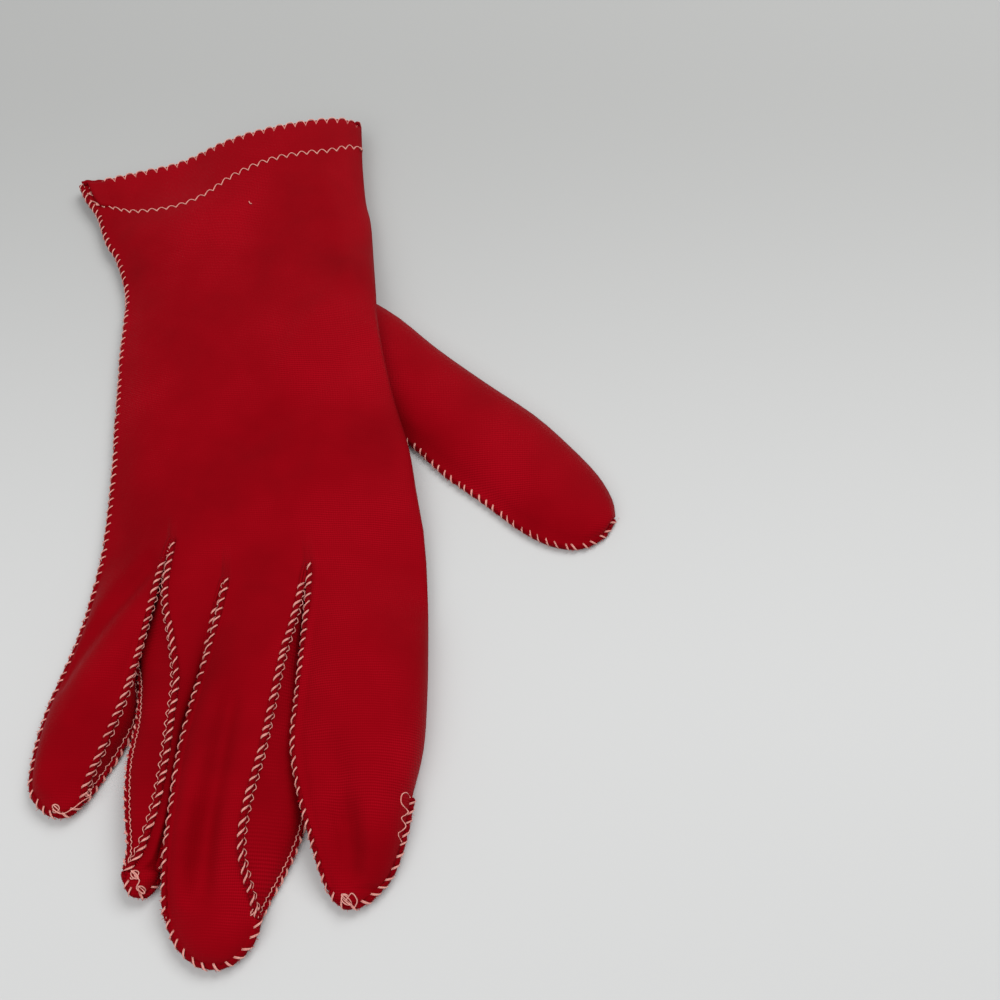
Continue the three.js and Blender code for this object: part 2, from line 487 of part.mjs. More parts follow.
// The main sheet: back and palm, folded at the thumb's side
function buildTrank() {
  const sheet = new Sheet();
  const sideLine = handRows.map((t) => {
    const row = rowAt(hand, t);
    return [vec(row.seamX, row.seamY, row.seamZ), vec(-1, 0, 0)];
  });
  const tips = Object.fromEntries(order.map((name) => [name,
    tipSeam(name, name === 'little' ? sideLine : [])]));
  const strips = {};
  order.forEach((name, f) => {
    strips[name] = sections[name].map((section, k) => {
      const left = tips[name].left[k];
      const right = tips[name].right[k];
      const slitEnd = (slit, side, i) => {
        const frame = slits[slit][side][i];
        return { point: sewn(frame, 1), frame, slit: true };
      };
      const leftAt = (side, which) => (left ? { point: sewn(left, which), frame: left }
        : slitEnd(f - 1, side, slits[f - 1].apex + k));
      const rightAt = (side, which) => {
        if (right) return { point: sewn(right, which), frame: right };
        if (fingers[name].right === 'fold') return { point: section.br };
        return slitEnd(f, side, slits[f].apex - 1 - k);
      };
      const ends = { bl: leftAt('back', 1), pl: leftAt('palm', -1),
        br: rightAt('back', 1), pr: rightAt('palm', -1) };
      const { back, palm } = fingerStrips(name, k, ends);
      if (section.last) {
        tips[name].over.forEach((frame, c) => {
          back[c] = sewn(frame, 1);
          palm[palm.length - 1 - c] = sewn(frame, -1);
        });
      }
      const backIds = back.map((point) => sheet.add(point));
      const shared = !right && fingers[name].right === 'fold';
      const palmIds = palm.map((point, c) => (shared && c === 0 ? backIds[backIds.length - 1]
        : sheet.add(point)));
      return { back: backIds, palm: palmIds };
    });
  });

  const knuckleBack = order.flatMap((name) => strips[name][0].back);
  const knucklePalm = [...order].reverse().flatMap((name) => strips[name][0].palm);
  const pointsOf = (ids) => ids.map((i) => sheet.points[i]);
  const rows = handRows.map((t, i) => {
    const back = handRow(t, pointsOf(knuckleBack), false);
    const palm = handRow(t, pointsOf(knucklePalm), true);
    back[0] = sewn(tips.little.lead[i], 1);
    palm[palm.length - 1] = sewn(tips.little.lead[i], -1);
    const backIds = back.map((point) => sheet.add(point));
    const palmIds = [backIds[backIds.length - 1], ...palm.slice(1).map((point) => sheet.add(point))];
    return { t, back: backIds, palm: palmIds };
  });
  const hole = { palm: [], fold: [] };
  [...rows, { t: knuckles, back: knuckleBack, palm: knucklePalm }].forEach((row, i, all) => {
    if (row.t >= holeFirst && row.t <= holeLast) {
      hole.fold.push(sheet.points[row.palm[2]]);
      hole.palm.push(sheet.points[row.palm[3]]);
    }
    if (i + 1 === all.length) return;
    const next = all[i + 1];
    sheet.strip(row.back, next.back);
    const holed = row.t >= holeFirst && next.t <= holeLast;
    sheet.strip(holed ? row.palm.slice(0, 3) : row.palm, holed ? next.palm.slice(0, 3) : next.palm);
    if (holed) sheet.strip(row.palm.slice(3), next.palm.slice(3));
  });

  const leftRow = (frame, back, palm) => [palm[palm.length - 1], sheet.add(ridgeTip(frame, -1)),
    sheet.add(ridgeTip(frame, 1)), back[0]];
  const sideRows = rows.map((row, i) => leftRow(tips.little.lead[i], row.back, row.palm));
  order.forEach((name) => {
    const finger = strips[name];
    finger.forEach((row, k) => {
      if (k + 1 === finger.length) return;
      sheet.strip(row.back, finger[k + 1].back);
      sheet.strip(row.palm, finger[k + 1].palm);
    });
    const left = finger.map((row, k) => (tips[name].left[k]
      ? leftRow(tips[name].left[k], row.back, row.palm) : null));
    const right = finger.map((row, k) => {
      if (!tips[name].right[k]) return null;
      return leftRow(tips[name].right[k], [...row.back].reverse(), [...row.palm].reverse()).reverse();
    });
    finger.forEach((row, k) => {
      if (left[k] && left[k + 1]) sheet.strip(left[k], left[k + 1]);
      if (right[k] && right[k + 1]) sheet.strip(right[k], right[k + 1]);
      if (right[k + 1] && !right[k] && fingers[name].right === 'fold') {
        const fold = row.back[row.back.length - 1];
        sheet.strip(right[k + 1].map(() => fold), right[k + 1]);
      }
    });
    const end = finger[finger.length - 1];
    const over = tips[name].over;
    const leftEnd = left[left.length - 1];
    const rightEnd = right[right.length - 1];
    const backTips = over.map((frame, c) => {
      if (c === 0) return leftEnd[2];
      return c === over.length - 1 ? rightEnd[1] : sheet.add(ridgeTip(frame, 1));
    });
    const palmTips = over.map((frame, c) => {
      if (c === 0) return leftEnd[1];
      return c === over.length - 1 ? rightEnd[2] : sheet.add(ridgeTip(frame, -1));
    });
    sheet.strip(end.back, backTips);
    sheet.strip(backTips, palmTips);
    sheet.strip(palmTips, [...end.palm].reverse());
    if (name === 'little') [...sideRows, left[0]].forEach((row, i, all) => {
      if (i + 1 < all.length) sheet.strip(row, all[i + 1]);
    });
  });

  slits.forEach((slit, s) => {
    const first = strips[order[s]];
    const second = strips[order[s + 1]];
    const base = (side, firstEnd, secondEnd) => slit.stations.map((k, i) => (i < slit.apex
      ? first[k][side].at(firstEnd) : second[k][side].at(secondEnd)));
    const rim = (frames) => frames.map((frame) => sheet.add(ridgeTip(frame, 1)));
    sheet.strip(rim(slit.back), base('back', -1, 0), true);
    sheet.strip(rim(slit.palm), base('palm', 0, -1));
  });
  return { sheet, hole, knuckleBack: pointsOf(knuckleBack), knucklePalm: pointsOf(knucklePalm) };
}

// The gusset of one slit: up one finger's side, over the web between the two and down the next
function buildGusset(slit) {
  const sheet = new Sheet();
  const rows = slit.sections.map(([section, end], i) => {
    const k = slit.stations[i];
    const back = sewn(slit.back[i], -1);
    const palm = sewn(slit.palm[i], -1);
    const turn = end === 'r' ? 1 : -1;
    const across = bulge(back, palm, leave(section.ways[`b${end}`], turn),
      leave(section.ways[`p${end}`], -turn), 0, gussetCells, smooth(k / sideFade));
    const drop = crotchDrop * clamp(1 - k / dropStations) ** 2;
    across.forEach((point, c) => {
      const v = c / gussetCells;
      point.y -= drop * 4 * v * (1 - v);
    });
    return [ridgeTip(slit.back[i], -1), ...across, ridgeTip(slit.palm[i], -1)]
      .map((point) => sheet.add(point));
  });
  rows.forEach((row, i) => {
    if (i + 1 < rows.length) sheet.strip(row, rows[i + 1], true);
  });
  return sheet;
}

// The band turned up inside the cuff
function buildHem(trank) {
  const outside = new Sheet();
  const rows = hemRows.map((t) => {
    const back = handRow(t, trank.knuckleBack, false);
    const palm = handRow(t, trank.knucklePalm, true);
    return [...back.slice(1), ...palm.slice(1, -1)].map((point) => outside.add(point));
  });
  rows.forEach((row, i) => {
    if (i + 1 < rows.length) outside.strip(row, rows[i + 1]);
  });
  wallNormals(outside).forEach((normal, i) => outside.points[i].addScaledVector(normal, -layer));
  return outside;
}

// The thumb: from the hole in the palm, out under the fold to its closed tip
function buildThumb(hole) {
  const sheet = new Sheet();
  const cells = hole.palm.length - 1;
  const heart = hole.palm[cells / 2].clone().lerp(hole.fold[cells / 2], 0.5);
  const inward = (point, far, down) => {
    const way = heart.clone().sub(point).setZ(0).normalize();
    return point.clone().addScaledVector(way, far).setZ(Math.max(lie, point.z - down));
  };
  const clearance = (i, between) => {
    if (i === 0) return rootEnds.first;
    return i === cells ? rootEnds.last : between;
  };
  const under = hole.palm.map((point, i) => inward(point, clearance(i, rootGap), 0));
  const above = hole.fold.map((point, i) => inward(point, clearance(i, 0), rootDrop));
  above[cells].z = lie + layer;
  above[0].z = lie + 2 * layer;
  const ring = (upper, nose, lower, out) => {
    const low = lower[cells].clone().add(out);
    const high = upper[cells].clone().add(out);
    return [...[...upper].reverse(), nose, ...lower, low, high].map((point) => sheet.add(point));
  };
  const nose = under[0].clone().lerp(above[0], 0.5).add(vec(0, rootLip, 0));
  const rings = [ring(above, nose, under, vec(rootTurn, 0, 0))];
  thumbRows.forEach((row) => {
    const from = vec(row.upperX, row.upperY, lie);
    const to = vec(row.lowerX, row.lowerY, lie);
    const across = to.clone().sub(from).normalize();
    const upper = [];
    const lower = [];
    for (let i = 0; i <= cells; i += 1) {
      const q = i / cells;
      const inset = thumbInset * (1 - q);
      const rise = (1 - q ** thumbTurn) * Math.sqrt(1 - (1 - q) ** thumbTurn);
      const point = from.clone().lerp(to, q).addScaledVector(across, inset);
      lower.push(point);
      upper.push(point.clone().setZ(lie + mix(layer, row.high, rise)));
    }
    rings.push(ring(upper, from.clone().setZ(lie + layer / 2), lower, across.clone().multiplyScalar(ridge)));
  });
  const closed = rings.map((ids) => [...ids, ids[0]]);
  closed.slice(1).forEach((next, k) => {
    const ids = closed[k];
    for (let i = 0; i + 1 < ids.length; i += 1) sheet.face(next[i], next[i + 1], ids[i + 1], ids[i]);
  });
  const end = rings[rings.length - 1];
  const top = end.slice(0, cells + 1);
  const bottom = end.slice(cells + 2, 2 * cells + 3).reverse();
  sheet.face(bottom[cells], end[cells + 1], top[cells]);
  sheet.strip(top, bottom);
  sheet.face(top[0], end[2 * cells + 4], end[2 * cells + 3], bottom[0]);
  return sheet;
}

const nylon = { color: 0xa3001a, roughness: 0.72, metalness: 0 };

function clothPiece(name, sheet, shade) {
  const material = new THREE.MeshStandardMaterial(nylon);
  material.color.multiplyScalar(shade);
  const mesh = new THREE.Mesh(thicken(sheet), material);
  mesh.name = name;
  return mesh;
}

const glove = new THREE.Group();
glove.name = 'nylon_glove';
glove.position.set(-middleX, -middleY, 0);
const trank = buildTrank();
glove.add(clothPiece('trank', trank.sheet, 1));
glove.add(clothPiece('cuff_hem', buildHem(trank), 0.96));
glove.add(clothPiece('thumb', buildThumb(trank.hole), 0.98));
slits.forEach((slit, i) => {
  glove.add(clothPiece(`fourchette_${order[i]}_${order[i + 1]}`, buildGusset(slit), 0.92));
});
export default glove;
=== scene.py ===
import itertools
import json
import math
import random

import bmesh
import bpy
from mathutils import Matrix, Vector, noise
from mathutils.bvhtree import BVHTree

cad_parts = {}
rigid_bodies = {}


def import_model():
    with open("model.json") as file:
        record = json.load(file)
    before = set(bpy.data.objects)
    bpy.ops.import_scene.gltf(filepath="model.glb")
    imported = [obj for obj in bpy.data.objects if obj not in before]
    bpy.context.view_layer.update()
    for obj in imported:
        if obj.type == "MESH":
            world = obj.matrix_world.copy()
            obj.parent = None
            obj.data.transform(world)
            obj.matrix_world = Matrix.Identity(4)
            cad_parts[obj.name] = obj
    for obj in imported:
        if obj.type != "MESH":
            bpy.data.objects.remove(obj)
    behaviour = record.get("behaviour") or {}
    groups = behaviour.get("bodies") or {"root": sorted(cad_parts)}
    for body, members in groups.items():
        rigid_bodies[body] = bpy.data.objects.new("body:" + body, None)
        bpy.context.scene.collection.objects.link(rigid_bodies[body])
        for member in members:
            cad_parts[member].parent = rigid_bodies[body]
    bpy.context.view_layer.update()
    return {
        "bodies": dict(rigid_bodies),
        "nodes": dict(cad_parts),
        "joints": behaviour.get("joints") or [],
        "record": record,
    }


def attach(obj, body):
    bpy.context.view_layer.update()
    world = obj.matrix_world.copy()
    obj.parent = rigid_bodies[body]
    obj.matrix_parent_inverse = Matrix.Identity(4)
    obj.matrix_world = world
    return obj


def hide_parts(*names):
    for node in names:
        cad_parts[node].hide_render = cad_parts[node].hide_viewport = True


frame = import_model()
random.seed(11)
print("frame loaded with", len(frame["nodes"]), "nodes")

# Lengths of the cloth and its threads are millimetres, as in the part's source. Those of the
# materials, floor and lights are metres. +Z is up, the cuff points to +Y and the thumb to +X. toRow
# brings a point to the frame, in metres.
millimetre = 0.001
middleOfOutline = Vector((-0.575, -0.595, 0))


def toRow(point):
    return (point - middleOfOutline) * millimetre


def mix(a, b, t):
    return a + (b - a) * t


def clamp(t):
    return min(1, max(0, t))


def smooth(t):
    return clamp(t) ** 2 * (3 - 2 * clamp(t))


def notUnder(point, height):
    point.z = max(point.z, height)
    return point


def addObject(name, data):
    made = bpy.data.objects.new(name, data)
    bpy.context.scene.collection.objects.link(made)
    return made


def tableOf(columns, rows):
    return [dict(zip(columns, row)) for row in rows]


def rowAt(table, t):
    # a row between the rows of a table, smoothly through every column
    i = min(int(t), len(table) - 2)
    f = t - i
    a, b, c, d = (table[min(max(i + k, 0), len(table) - 1)] for k in (-1, 0, 1, 2))
    row = {}
    for name in b:
        slopeB = (c[name] - a[name]) / 2
        slopeC = (d[name] - b[name]) / 2
        rise = c[name] - b[name]
        bend = f * f * (3 * rise - 2 * slopeB - slopeC)
        row[name] = b[name] + f * slopeB + bend + f ** 3 * (slopeB + slopeC - 2 * rise)
    return row


# The cut of the glove

cloth = {
    "thickness": 0.7,
    "layer": 1.2,  # from the middle of one sheet to the next one on it
    "beside": 0.38,  # from a seam line to the middle of each raw edge
    "ridge": 0.55,  # height of the raw edges inside their bead
    "stationSteps": 4,  # points between two stations along a finger
    "acrossSteps": 4,  # points between two cells across it
    "rowSteps": 4,  # points between two rows of the hand
    "gussetCells": 12,
    "stretch": 1.05,  # longest reach of a seam's corner
    "lipSteps": 4,  # rows of points that roll the cuff's edge over
}
lie = cloth["thickness"] / 2

fullness = {
    "puff": 0.35,  # how far a strip leaves its seams straight, of its chord
    "slackPuff": 0.6,  # how much of its spare width goes into the bulge
    "lean": math.cos(math.radians(75)),  # how much a strip slopes down from the ridge it leaves
    "ease": 2,  # stations over which a finger becomes full
    "bunch": 1.7,  # how much the points of a strip gather at the fold
    "outwards": 0.3,  # least way that a palm seam's ridge stands outwards
    "tipReach": 2,  # stations from a fingertip back to where its seams aim
    "tipEase": 1.6,  # stations over which a finger's sections turn into its tip
    "tipFlat": 0.35,  # how much less full they are there
    "sideFade": 3,  # stations over which a slit's ridges turn to its sides
    "pinch": 0.85,  # how far each side of a fork is drawn to the other
    "seamStart": 0.25,  # how full a seam is where it starts on a fold
    "palmDrop": 10,  # how much further down a slit starts in the palm than on the back
    "webDrop": 4,  # how far the web between two fingers sags
    "dropStations": 3,  # stations over which both end
}

handShape = {
    "seamTurn": 8,  # how late the back turns down to the side seam
    "foldTurn": 10,  # and how late it turns down to the fold
    "crestFrom": 0.3,  # where the back starts to rise to its crest
    "crestUntil": 0.8,  # and where the crest is
    "edgeColumn": 1.7,  # how much the columns from the fold to the thumb hole gather at the fold
    "fanFrom": 8.5,  # row where the columns start to turn to the fingers
    "settle": 0.15,  # height under which the palm lies quite flat
    "holeFirst": 5.5,  # rows of the thumb hole's ends
    "holeLast": 8.5,
    "holeInner": 21,  # its reach to the palm's middle and to the fold
    "holeOuter": 1.5,
    "holeEnd": 1.8,
    "holeCells": 2,  # cells of the palm between the fold and the hole
    "cuffRise": (1, 0.5),  # where the cuff's palm has risen to the fold, and where it starts to
}

# Row by row from the cuff to the knuckles: the side seam, the fold, the heights of the back in the
# middle and at its crest, that of the palm under the fold, and the middle of the thumb hole
handTable = tableOf(
    ("seamX", "seamY", "seamZ", "foldX", "foldY", "foldZ", "middle", "crest", "under", "line"), (
        (-80.0, 101.2, 3.6, 5.2, 122.9, 6.4, 9.2, 12.6, 0.5, -12.0),
        (-76.6, 94.8, 3.4, 5.9, 114.0, 6.2, 9.2, 12.2, 0.5, -10.0),
        (-72.5, 89.1, 3.2, 6.6, 105.3, 6.0, 9.0, 11.6, 0.5, -8.0),
        (-68.0, 78.5, 3.0, 8.3, 92.0, 5.6, 8.8, 10.8, 0.5, -4.0),
        (-63.6, 71.5, 2.9, 10.3, 83.3, 5.6, 8.8, 10.4, 0.7, -1.0),
        (-58.8, 58.4, 2.8, 11.9, 69.4, 6.2, 8.8, 10.8, 1.6, 1.5),
        (-57.7, 47.0, 2.8, 13.6, 55.0, 8.4, 9.0, 12.2, 5.4, 4.0),
        (-57.0, 36.5, 2.8, 14.8, 43.9, 9.9, 9.2, 13.4, 7.7, 6.0),
        (-55.8, 25.5, 2.8, 17.5, 30.1, 9.9, 9.2, 13.4, 7.7, 6.6),
        (-54.8, 14.5, 2.8, 20.9, 17.0, 8.2, 9.0, 12.0, 4.8, 7.6),
        (-53.4, 3.0, 2.8, 24.9, 4.3, 6.2, 8.8, 10.4, 1.9, 13.0),
        (-52.5, -8.0, 2.8, 27.2, -7.9, 5.0, 8.6, 9.4, 0.8, 15.5),
        (-51.8, -18.0, 2.8, 29.4, -19.1, 4.5, 8.5, 8.9, 0.5, 17.0)))
knuckles = {"seamX": -51.6, "seamY": -26, "foldX": 30.4, "foldY": -28}

# Station by station from the knuckles to a fingertip: where it crosses the left and right edge, the
# corners of its section on the back, bl and br, and on the palm, pr and pl, with their heights. wide
# is the width of the cloth between two seams. A palm corner left out or None is the back's.
fingerColumns = ("yl", "yr", "bl", "blz", "br", "brz", "wide", "pr", "prz", "pl", "plz", "palmWide")
fingers = {
    "little": {"left": "seam", "right": "slit", "tip": 7, "cells": 4, "rows": (
        (-26, -23.5, -51.6, 2.8, -34.9, 8.2, 17, -38.3, 1.2),
        (-34, -34, -52.1, 2.8, -35.8, 8.0, 17, -40.8, 1.2),
        (-45, -45, -53.2, 2.8, -37.2, 7.8, 17, -42.0, 1.2),
        (-56, -56, -55.5, 2.8, -38.6, 7.4, 18, -40.6, 1.2),
        (-66, -66, -57.9, 2.7, -40.3, 6.8, 19, -38.0, 1.2),
        (-75, -75, -59.1, 2.5, -42.9, 6.0, 18, -40.8, 1.2),
        (-84, -84, -58.8, 2.4, -46.4, 3.6, 14, -45.4, 1.3),
        (-87.4, -87.5, -56.8, 2.3, -47.4, 2.4, 10),
        (-89.3, -89.4, -54.7, 2.1, -49.0, 2.2, 6),
        (-90.2, -90.3, -52.8, 2.0, -50.6, 2.0, 2))},
    "ring": {"left": "slit", "right": "slit", "tip": 8, "cells": 4, "rows": (
        (-23.5, -34.5, -32.3, 8.2, -20.1, 8.4, 14, -22.3, 1.2, -35.2, 1.2, 12),
        (-38, -40, -33.1, 8.2, -20.6, 7.4, 12, -22.0, 1.2, -38.6, 1.2, 12),
        (-50, -50, -29.8, 8.2, -22.0, 6.2, 7, -23.0, 1.2, -39.6, 1.5, 12),
        (-60, -60, -27.6, 8.0, -23.6, 4.6, 4, -29.0, 1.2, -36.6, 3.4, 10),
        (-70, -70, -27.6, 7.8, -25.8, 4.6, 4, -31.0, 1.2, -35.2, 5.2, 11),
        (-80, -80, -27.7, 7.6, -26.0, 4.4, 4, -32.5, 1.2, -35.6, 6.0, 13),
        (-90, -90, -28.4, 7.2, -26.2, 4.2, 5, -32.0, 1.2, -34.4, 6.2, 13),
        (-99, -99, -30.6, 6.0, -27.4, 2.6, 8, -28.8, 1.3, -32.6, 5.6, 11),
        (-103.5, -103.5, -33.4, 4.6, -27.4, 1.8, 10, None, None, None, None, 10),
        (-106, -106, -32.8, 3.6, -28.0, 2.0, 7, None, None, None, None, 7),
        (-107.8, -107.8, -31.6, 3.0, -29.4, 2.2, 3, None, None, None, None, 3))},
    "middle": {"left": "slit", "right": "slit", "tip": 8, "cells": 4, "rows": (
        (-34.5, -30.5, -17.5, 8.4, 0.1, 8.6, 18, 0.7, 1.2, -18.7, 1.2),
        (-43, -43, -18.9, 8.4, -0.6, 8.6, 18, 0.9, 1.2, -18.6, 1.2),
        (-54, -54, -20.4, 8.0, -2.8, 8.6, 18, 1.6, 1.2, -19.2, 1.2),
        (-66, -66, -22.3, 7.6, -4.2, 8.6, 18, 2.6, 1.2, -19.8, 1.2),
        (-78, -78, -23.8, 7.4, -5.6, 8.6, 18, 3.6, 1.3, -20.2, 1.2),
        (-90, -90, -24.0, 7.2, -7.7, 8.4, 18, 4.0, 1.4, -20.4, 1.2),
        (-100, -100, -24.1, 6.6, -8.0, 7.6, 18, 1.6, 1.5, -20.8, 1.2),
        (-110, -110, -23.7, 4.0, -5.0, 4.3, 19, -3.0, 1.6, -22.8, 1.5),
        (-113.5, -113.5, -22.8, 2.8, -4.0, 3.0, 19),
        (-118, -118, -20.3, 2.6, -5.2, 2.7, 15),
        (-121, -121.3, -17.0, 2.3, -8.4, 2.3, 9),
        (-122.3, -122.4, -14.2, 2.1, -11.2, 2.1, 3))},
    "index": {"left": "slit", "right": "fold", "tip": 8, "seamFrom": 5, "cells": 5, "rows": (
        (-30.5, -28, 2.7, 8.6, 30.4, 4.2, 28, None, None, 4.3, 1.2),
        (-40, -40, 2.4, 8.2, 31.2, 4.0, 29, None, None, 5.0, 1.2),
        (-52, -52, 2.3, 7.8, 31.6, 3.9, 29, None, None, 6.2, 1.2),
        (-64, -64, 2.2, 7.6, 31.7, 3.8, 29, None, None, 7.0, 1.2),
        (-76, -76, 2.2, 7.3, 31.2, 3.7, 28, None, None, 7.6, 1.2),
        (-87, -87, 4.7, 6.8, 28.9, 3.4, 24, None, None, 8.4, 1.2),
        (-96, -96, 7.7, 5.8, 27.2, 3.0, 20, None, None, 9.8, 1.2),
        (-103.5, -103.5, 10.4, 3.6, 24.8, 2.6, 15, None, None, 11.4, 1.4),
        (-107, -107, 12.2, 2.4, 22.0, 2.4, 10.4),
        (-108.9, -108.9, 13.7, 2.1, 19.9, 2.1, 6.4),
        (-110, -110, 15.4, 2.0, 17.6, 2.0, 2))},
}
order = ("little", "ring", "middle", "index")

for finger in fingers.values():
    finger["rows"] = tableOf(fingerColumns, finger["rows"])
    finger["cells"] *= cloth["acrossSteps"]
    for row in finger["rows"]:
        for palmCorner, backCorner in (("pr", "br"), ("pl", "bl")):
            if row.get(palmCorner) is None:
                row[palmCorner] = row[backCorner]
                row[palmCorner + "z"] = row[backCorner + "z"]
        row.setdefault("palmWide", row["wide"])

# The thumb from under the fold to its tip: its folded edge, its sewn edge and its height
thumbTable = tableOf(("upperX", "upperY", "lowerX", "lowerY", "high"), (
    (10.0, 59.0, 16.0, 16.0, 5.7),
    (19.8, 51.8, 25.8, 9.5, 5.8),
    (31.2, 40.8, 35.6, -0.3, 6.2),
    (45.0, 29.2, 46.0, -8.5, 6.2),
    (58.6, 18.4, 54.0, -15.2, 6.0),
    (68.0, 8.6, 61.0, -19.6, 5.6),
    (75.4, -0.6, 67.0, -21.4, 5.0),
    (79.0, -8.0, 72.0, -21.0, 4.2),
    (79.6, -13.0, 76.2, -18.4, 3.0)))


class Sheet:
    # a sheet of cloth as the middle of its wall: points, and faces that run anticlockwise outside
    def __init__(self):
        self.points = []
        self.faces = []
        self.seams = []

    def add(self, point):
        self.points.append(Vector(point))
        return len(self.points) - 1

    def face(self, corners):
        apart = [a for a, b in zip(corners, corners[1:] + corners[:1]) if a != b]
        if len(apart) > 2:
            self.faces.append(apart)

    def strip(self, upper, lower, flip=False):
        for i in range(len(upper) - 1):
            corners = [upper[i], lower[i], lower[i + 1], upper[i + 1]]
            self.face(corners[::-1] if flip else corners)

    def net(self, rows, flip=False):
        for row, following in zip(rows, rows[1:]):
            self.strip(row, following, flip)

    def bmesh(self, scale=toRow):
        bm = bmesh.new()
        verts = [bm.verts.new(scale(point)) for point in self.points]
        for corners in self.faces:
            bm.faces.new([verts[i] for i in corners])
        bm.normal_update()
        return bm

    def normals(self):
        bm = self.bmesh(Vector)
        bm.verts.ensure_lookup_table()
        found = [v.normal.copy() for v in bm.verts]
        bm.free()
        return found


# Folds and dents of the back, each along a line on its plan: depth is its height, up or down
folds = tableOf(("fromX", "fromY", "toX", "toY", "depth", "wide"), (
    (-80, 101, -58, 106, -11.0, 15.0),  # the cuff lies flat by the side seam
    (-38, -30, -56, -60, -3.2, 2.1),  # where the little finger bends down
    (-36, -44, -52, -70, 0.9, 3.5),
    (-14, -66, -17, -104, -3.6, 2.8),  # down the middle finger
    (-17, -92, -16.5, -108, -5.0, 2.6),
    (11, -78, 16, -98, -2.4, 3.0),  # down the index finger
    (14.5, -92, 16, -103, -4.4, 2.6),
    (9, 66, -8, 30, 1.0, 4.0),  # from the thumb's root over the back
    (12, 34, -16, 4, -1.1, 3.0),
    (18, 14, -6, -12, 0.9, 3.0),
    (20, -2, 4, -22, -0.4, 3.0),
    (-2, 96, 6, 60, 0.6, 4.0),
    (-42, 86, -30, 20, 0.6, 9.0)))
press = {
    "ripples": ((0.45, 16), (0.12, 5)),  # depth and size of each
    "long": 2,  # how much longer than wide they are
    "slice": 3,  # place in the noise that the ripples are cut from
    "facing": 0.35,  # cloth that faces up less than this isn't moved
    "facingOver": 0.4,
    "low": 3.2,  # the back presses no lower than this
    "least": 0.01,
}
# Only cloth that faces up more than facing, between points that do so more than besideFacing, is
# evened out
evening = {"rounds": 12, "share": 0.5, "facing": 0.25, "besideFacing": 0.05}


def sculpt(point, normal):
    # how far a point of the back moves up or down for the folds
    facing = smooth((normal.z - press["facing"]) / press["facingOver"])
    if facing == 0:
        return 0
    move = 0
    flat = Vector((point.x, point.y))
    for fold in folds:
        a = Vector((fold["fromX"], fold["fromY"]))
        b = Vector((fold["toX"], fold["toY"]))
        t = (flat - a).dot(b - a) / (b - a).length_squared
        gap = (flat - a.lerp(b, clamp(t))).length
        move += fold["depth"] * math.exp(-(gap / fold["wide"]) ** 2)
    for depth, size in press["ripples"]:
        place = Vector((point.x / size, point.y / (press["long"] * size), press["slice"]))
        move += depth * noise.noise(place)
    move *= facing
    room = max(point.z - press["low"], press["least"])
    return move if move > 0 else -room * (1 - math.exp(move / room))


def shapeBack(sheet):
    for point, normal in zip(sheet.points, sheet.normals()):
        point.z = max(lie, point.z + sculpt(point, normal))


def relax(sheet):
    # evens out the heights of the back between its seams
    normals = sheet.normals()
    beside = [set() for point in sheet.points]
    for corners in sheet.faces:
        for a, b in zip(corners, corners[1:] + corners[:1]):
            beside[a].add(b)
            beside[b].add(a)
    held = set(sheet.seams).union(*(beside[i] for i in sheet.seams))
    free = [i for i, near in enumerate(beside) if i not in held
            and normals[i].z > evening["facing"]
            and min(normals[j].z for j in near) > evening["besideFacing"]]
    for turn in range(evening["rounds"]):
        heights = [sum(sheet.points[j].z for j in beside[i]) / len(beside[i]) for i in free]
        for i, height in zip(free, heights):
            sheet.points[i].z = mix(sheet.points[i].z, height, evening["share"])


# Seams and the sections between them


def seamFrames(line, flip=1):
    # at each point of a seam, given with the way it looks out: the way its ridge stands, the side
    # its first sheet is on, and its length so far
    frames = []
    length = 0
    for i, (point, way) in enumerate(line):
        before = line[max(i - 1, 0)][0]
        after = line[min(i + 1, len(line) - 1)][0]
        one = (point - before).normalized()
        two = (after - point).normalized()
        along = (one + two).normalized()
        up = (way - along * way.dot(along)).normalized()
        turn = max(along.dot(one), 1 / cloth["stretch"]) if 0 < i < len(line) - 1 else 1
        length += (point - before).length
        frames.append({"point": point, "up": up, "side": up.cross(along) * flip, "along": along,
                       "reach": cloth["beside"] / turn, "full": 1, "s": length})
    return frames


def sewn(frame, which):
    return frame["point"] + frame["side"] * (frame["reach"] * which * frame["full"])


def ridgeTip(frame, which):
    return sewn(frame, which) + frame["up"] * (cloth["ridge"] * frame["full"])


def bulge(start, end, startWay, endWay, wide, cells, full, spacing):
    # a strip of cloth between two places, full where it leaves its seams
    chord = end - start
    handle = fullness["puff"] * chord.length + fullness["slackPuff"] * max(0, wide - chord.length)
    a = start + (chord / 3).lerp(startWay * handle, full)
    b = end + (-chord / 3).lerp(endWay * handle, full)
    points = []
    for i in range(cells + 1):
        t = spacing(i / cells)
        s = 1 - t
        point = start * s ** 3 + a * (3 * s * s * t) + b * (3 * s * t * t) + end * t ** 3
        points.append(notUnder(point, lie))
    return points


def leaning(side, up):
    return side * math.sqrt(1 - fullness["lean"] ** 2) - up * fullness["lean"]


def leave(way, turn):
    # the way a strip leaves a seam, in its section: beside the ridge and a little back from it
    return leaning(Vector((way.z * turn, 0, -way.x * turn)).normalized(), way).normalized()


def flatWay(a, b):
    return Vector((a.x - b.x, 0, a.z - b.z)).normalized()


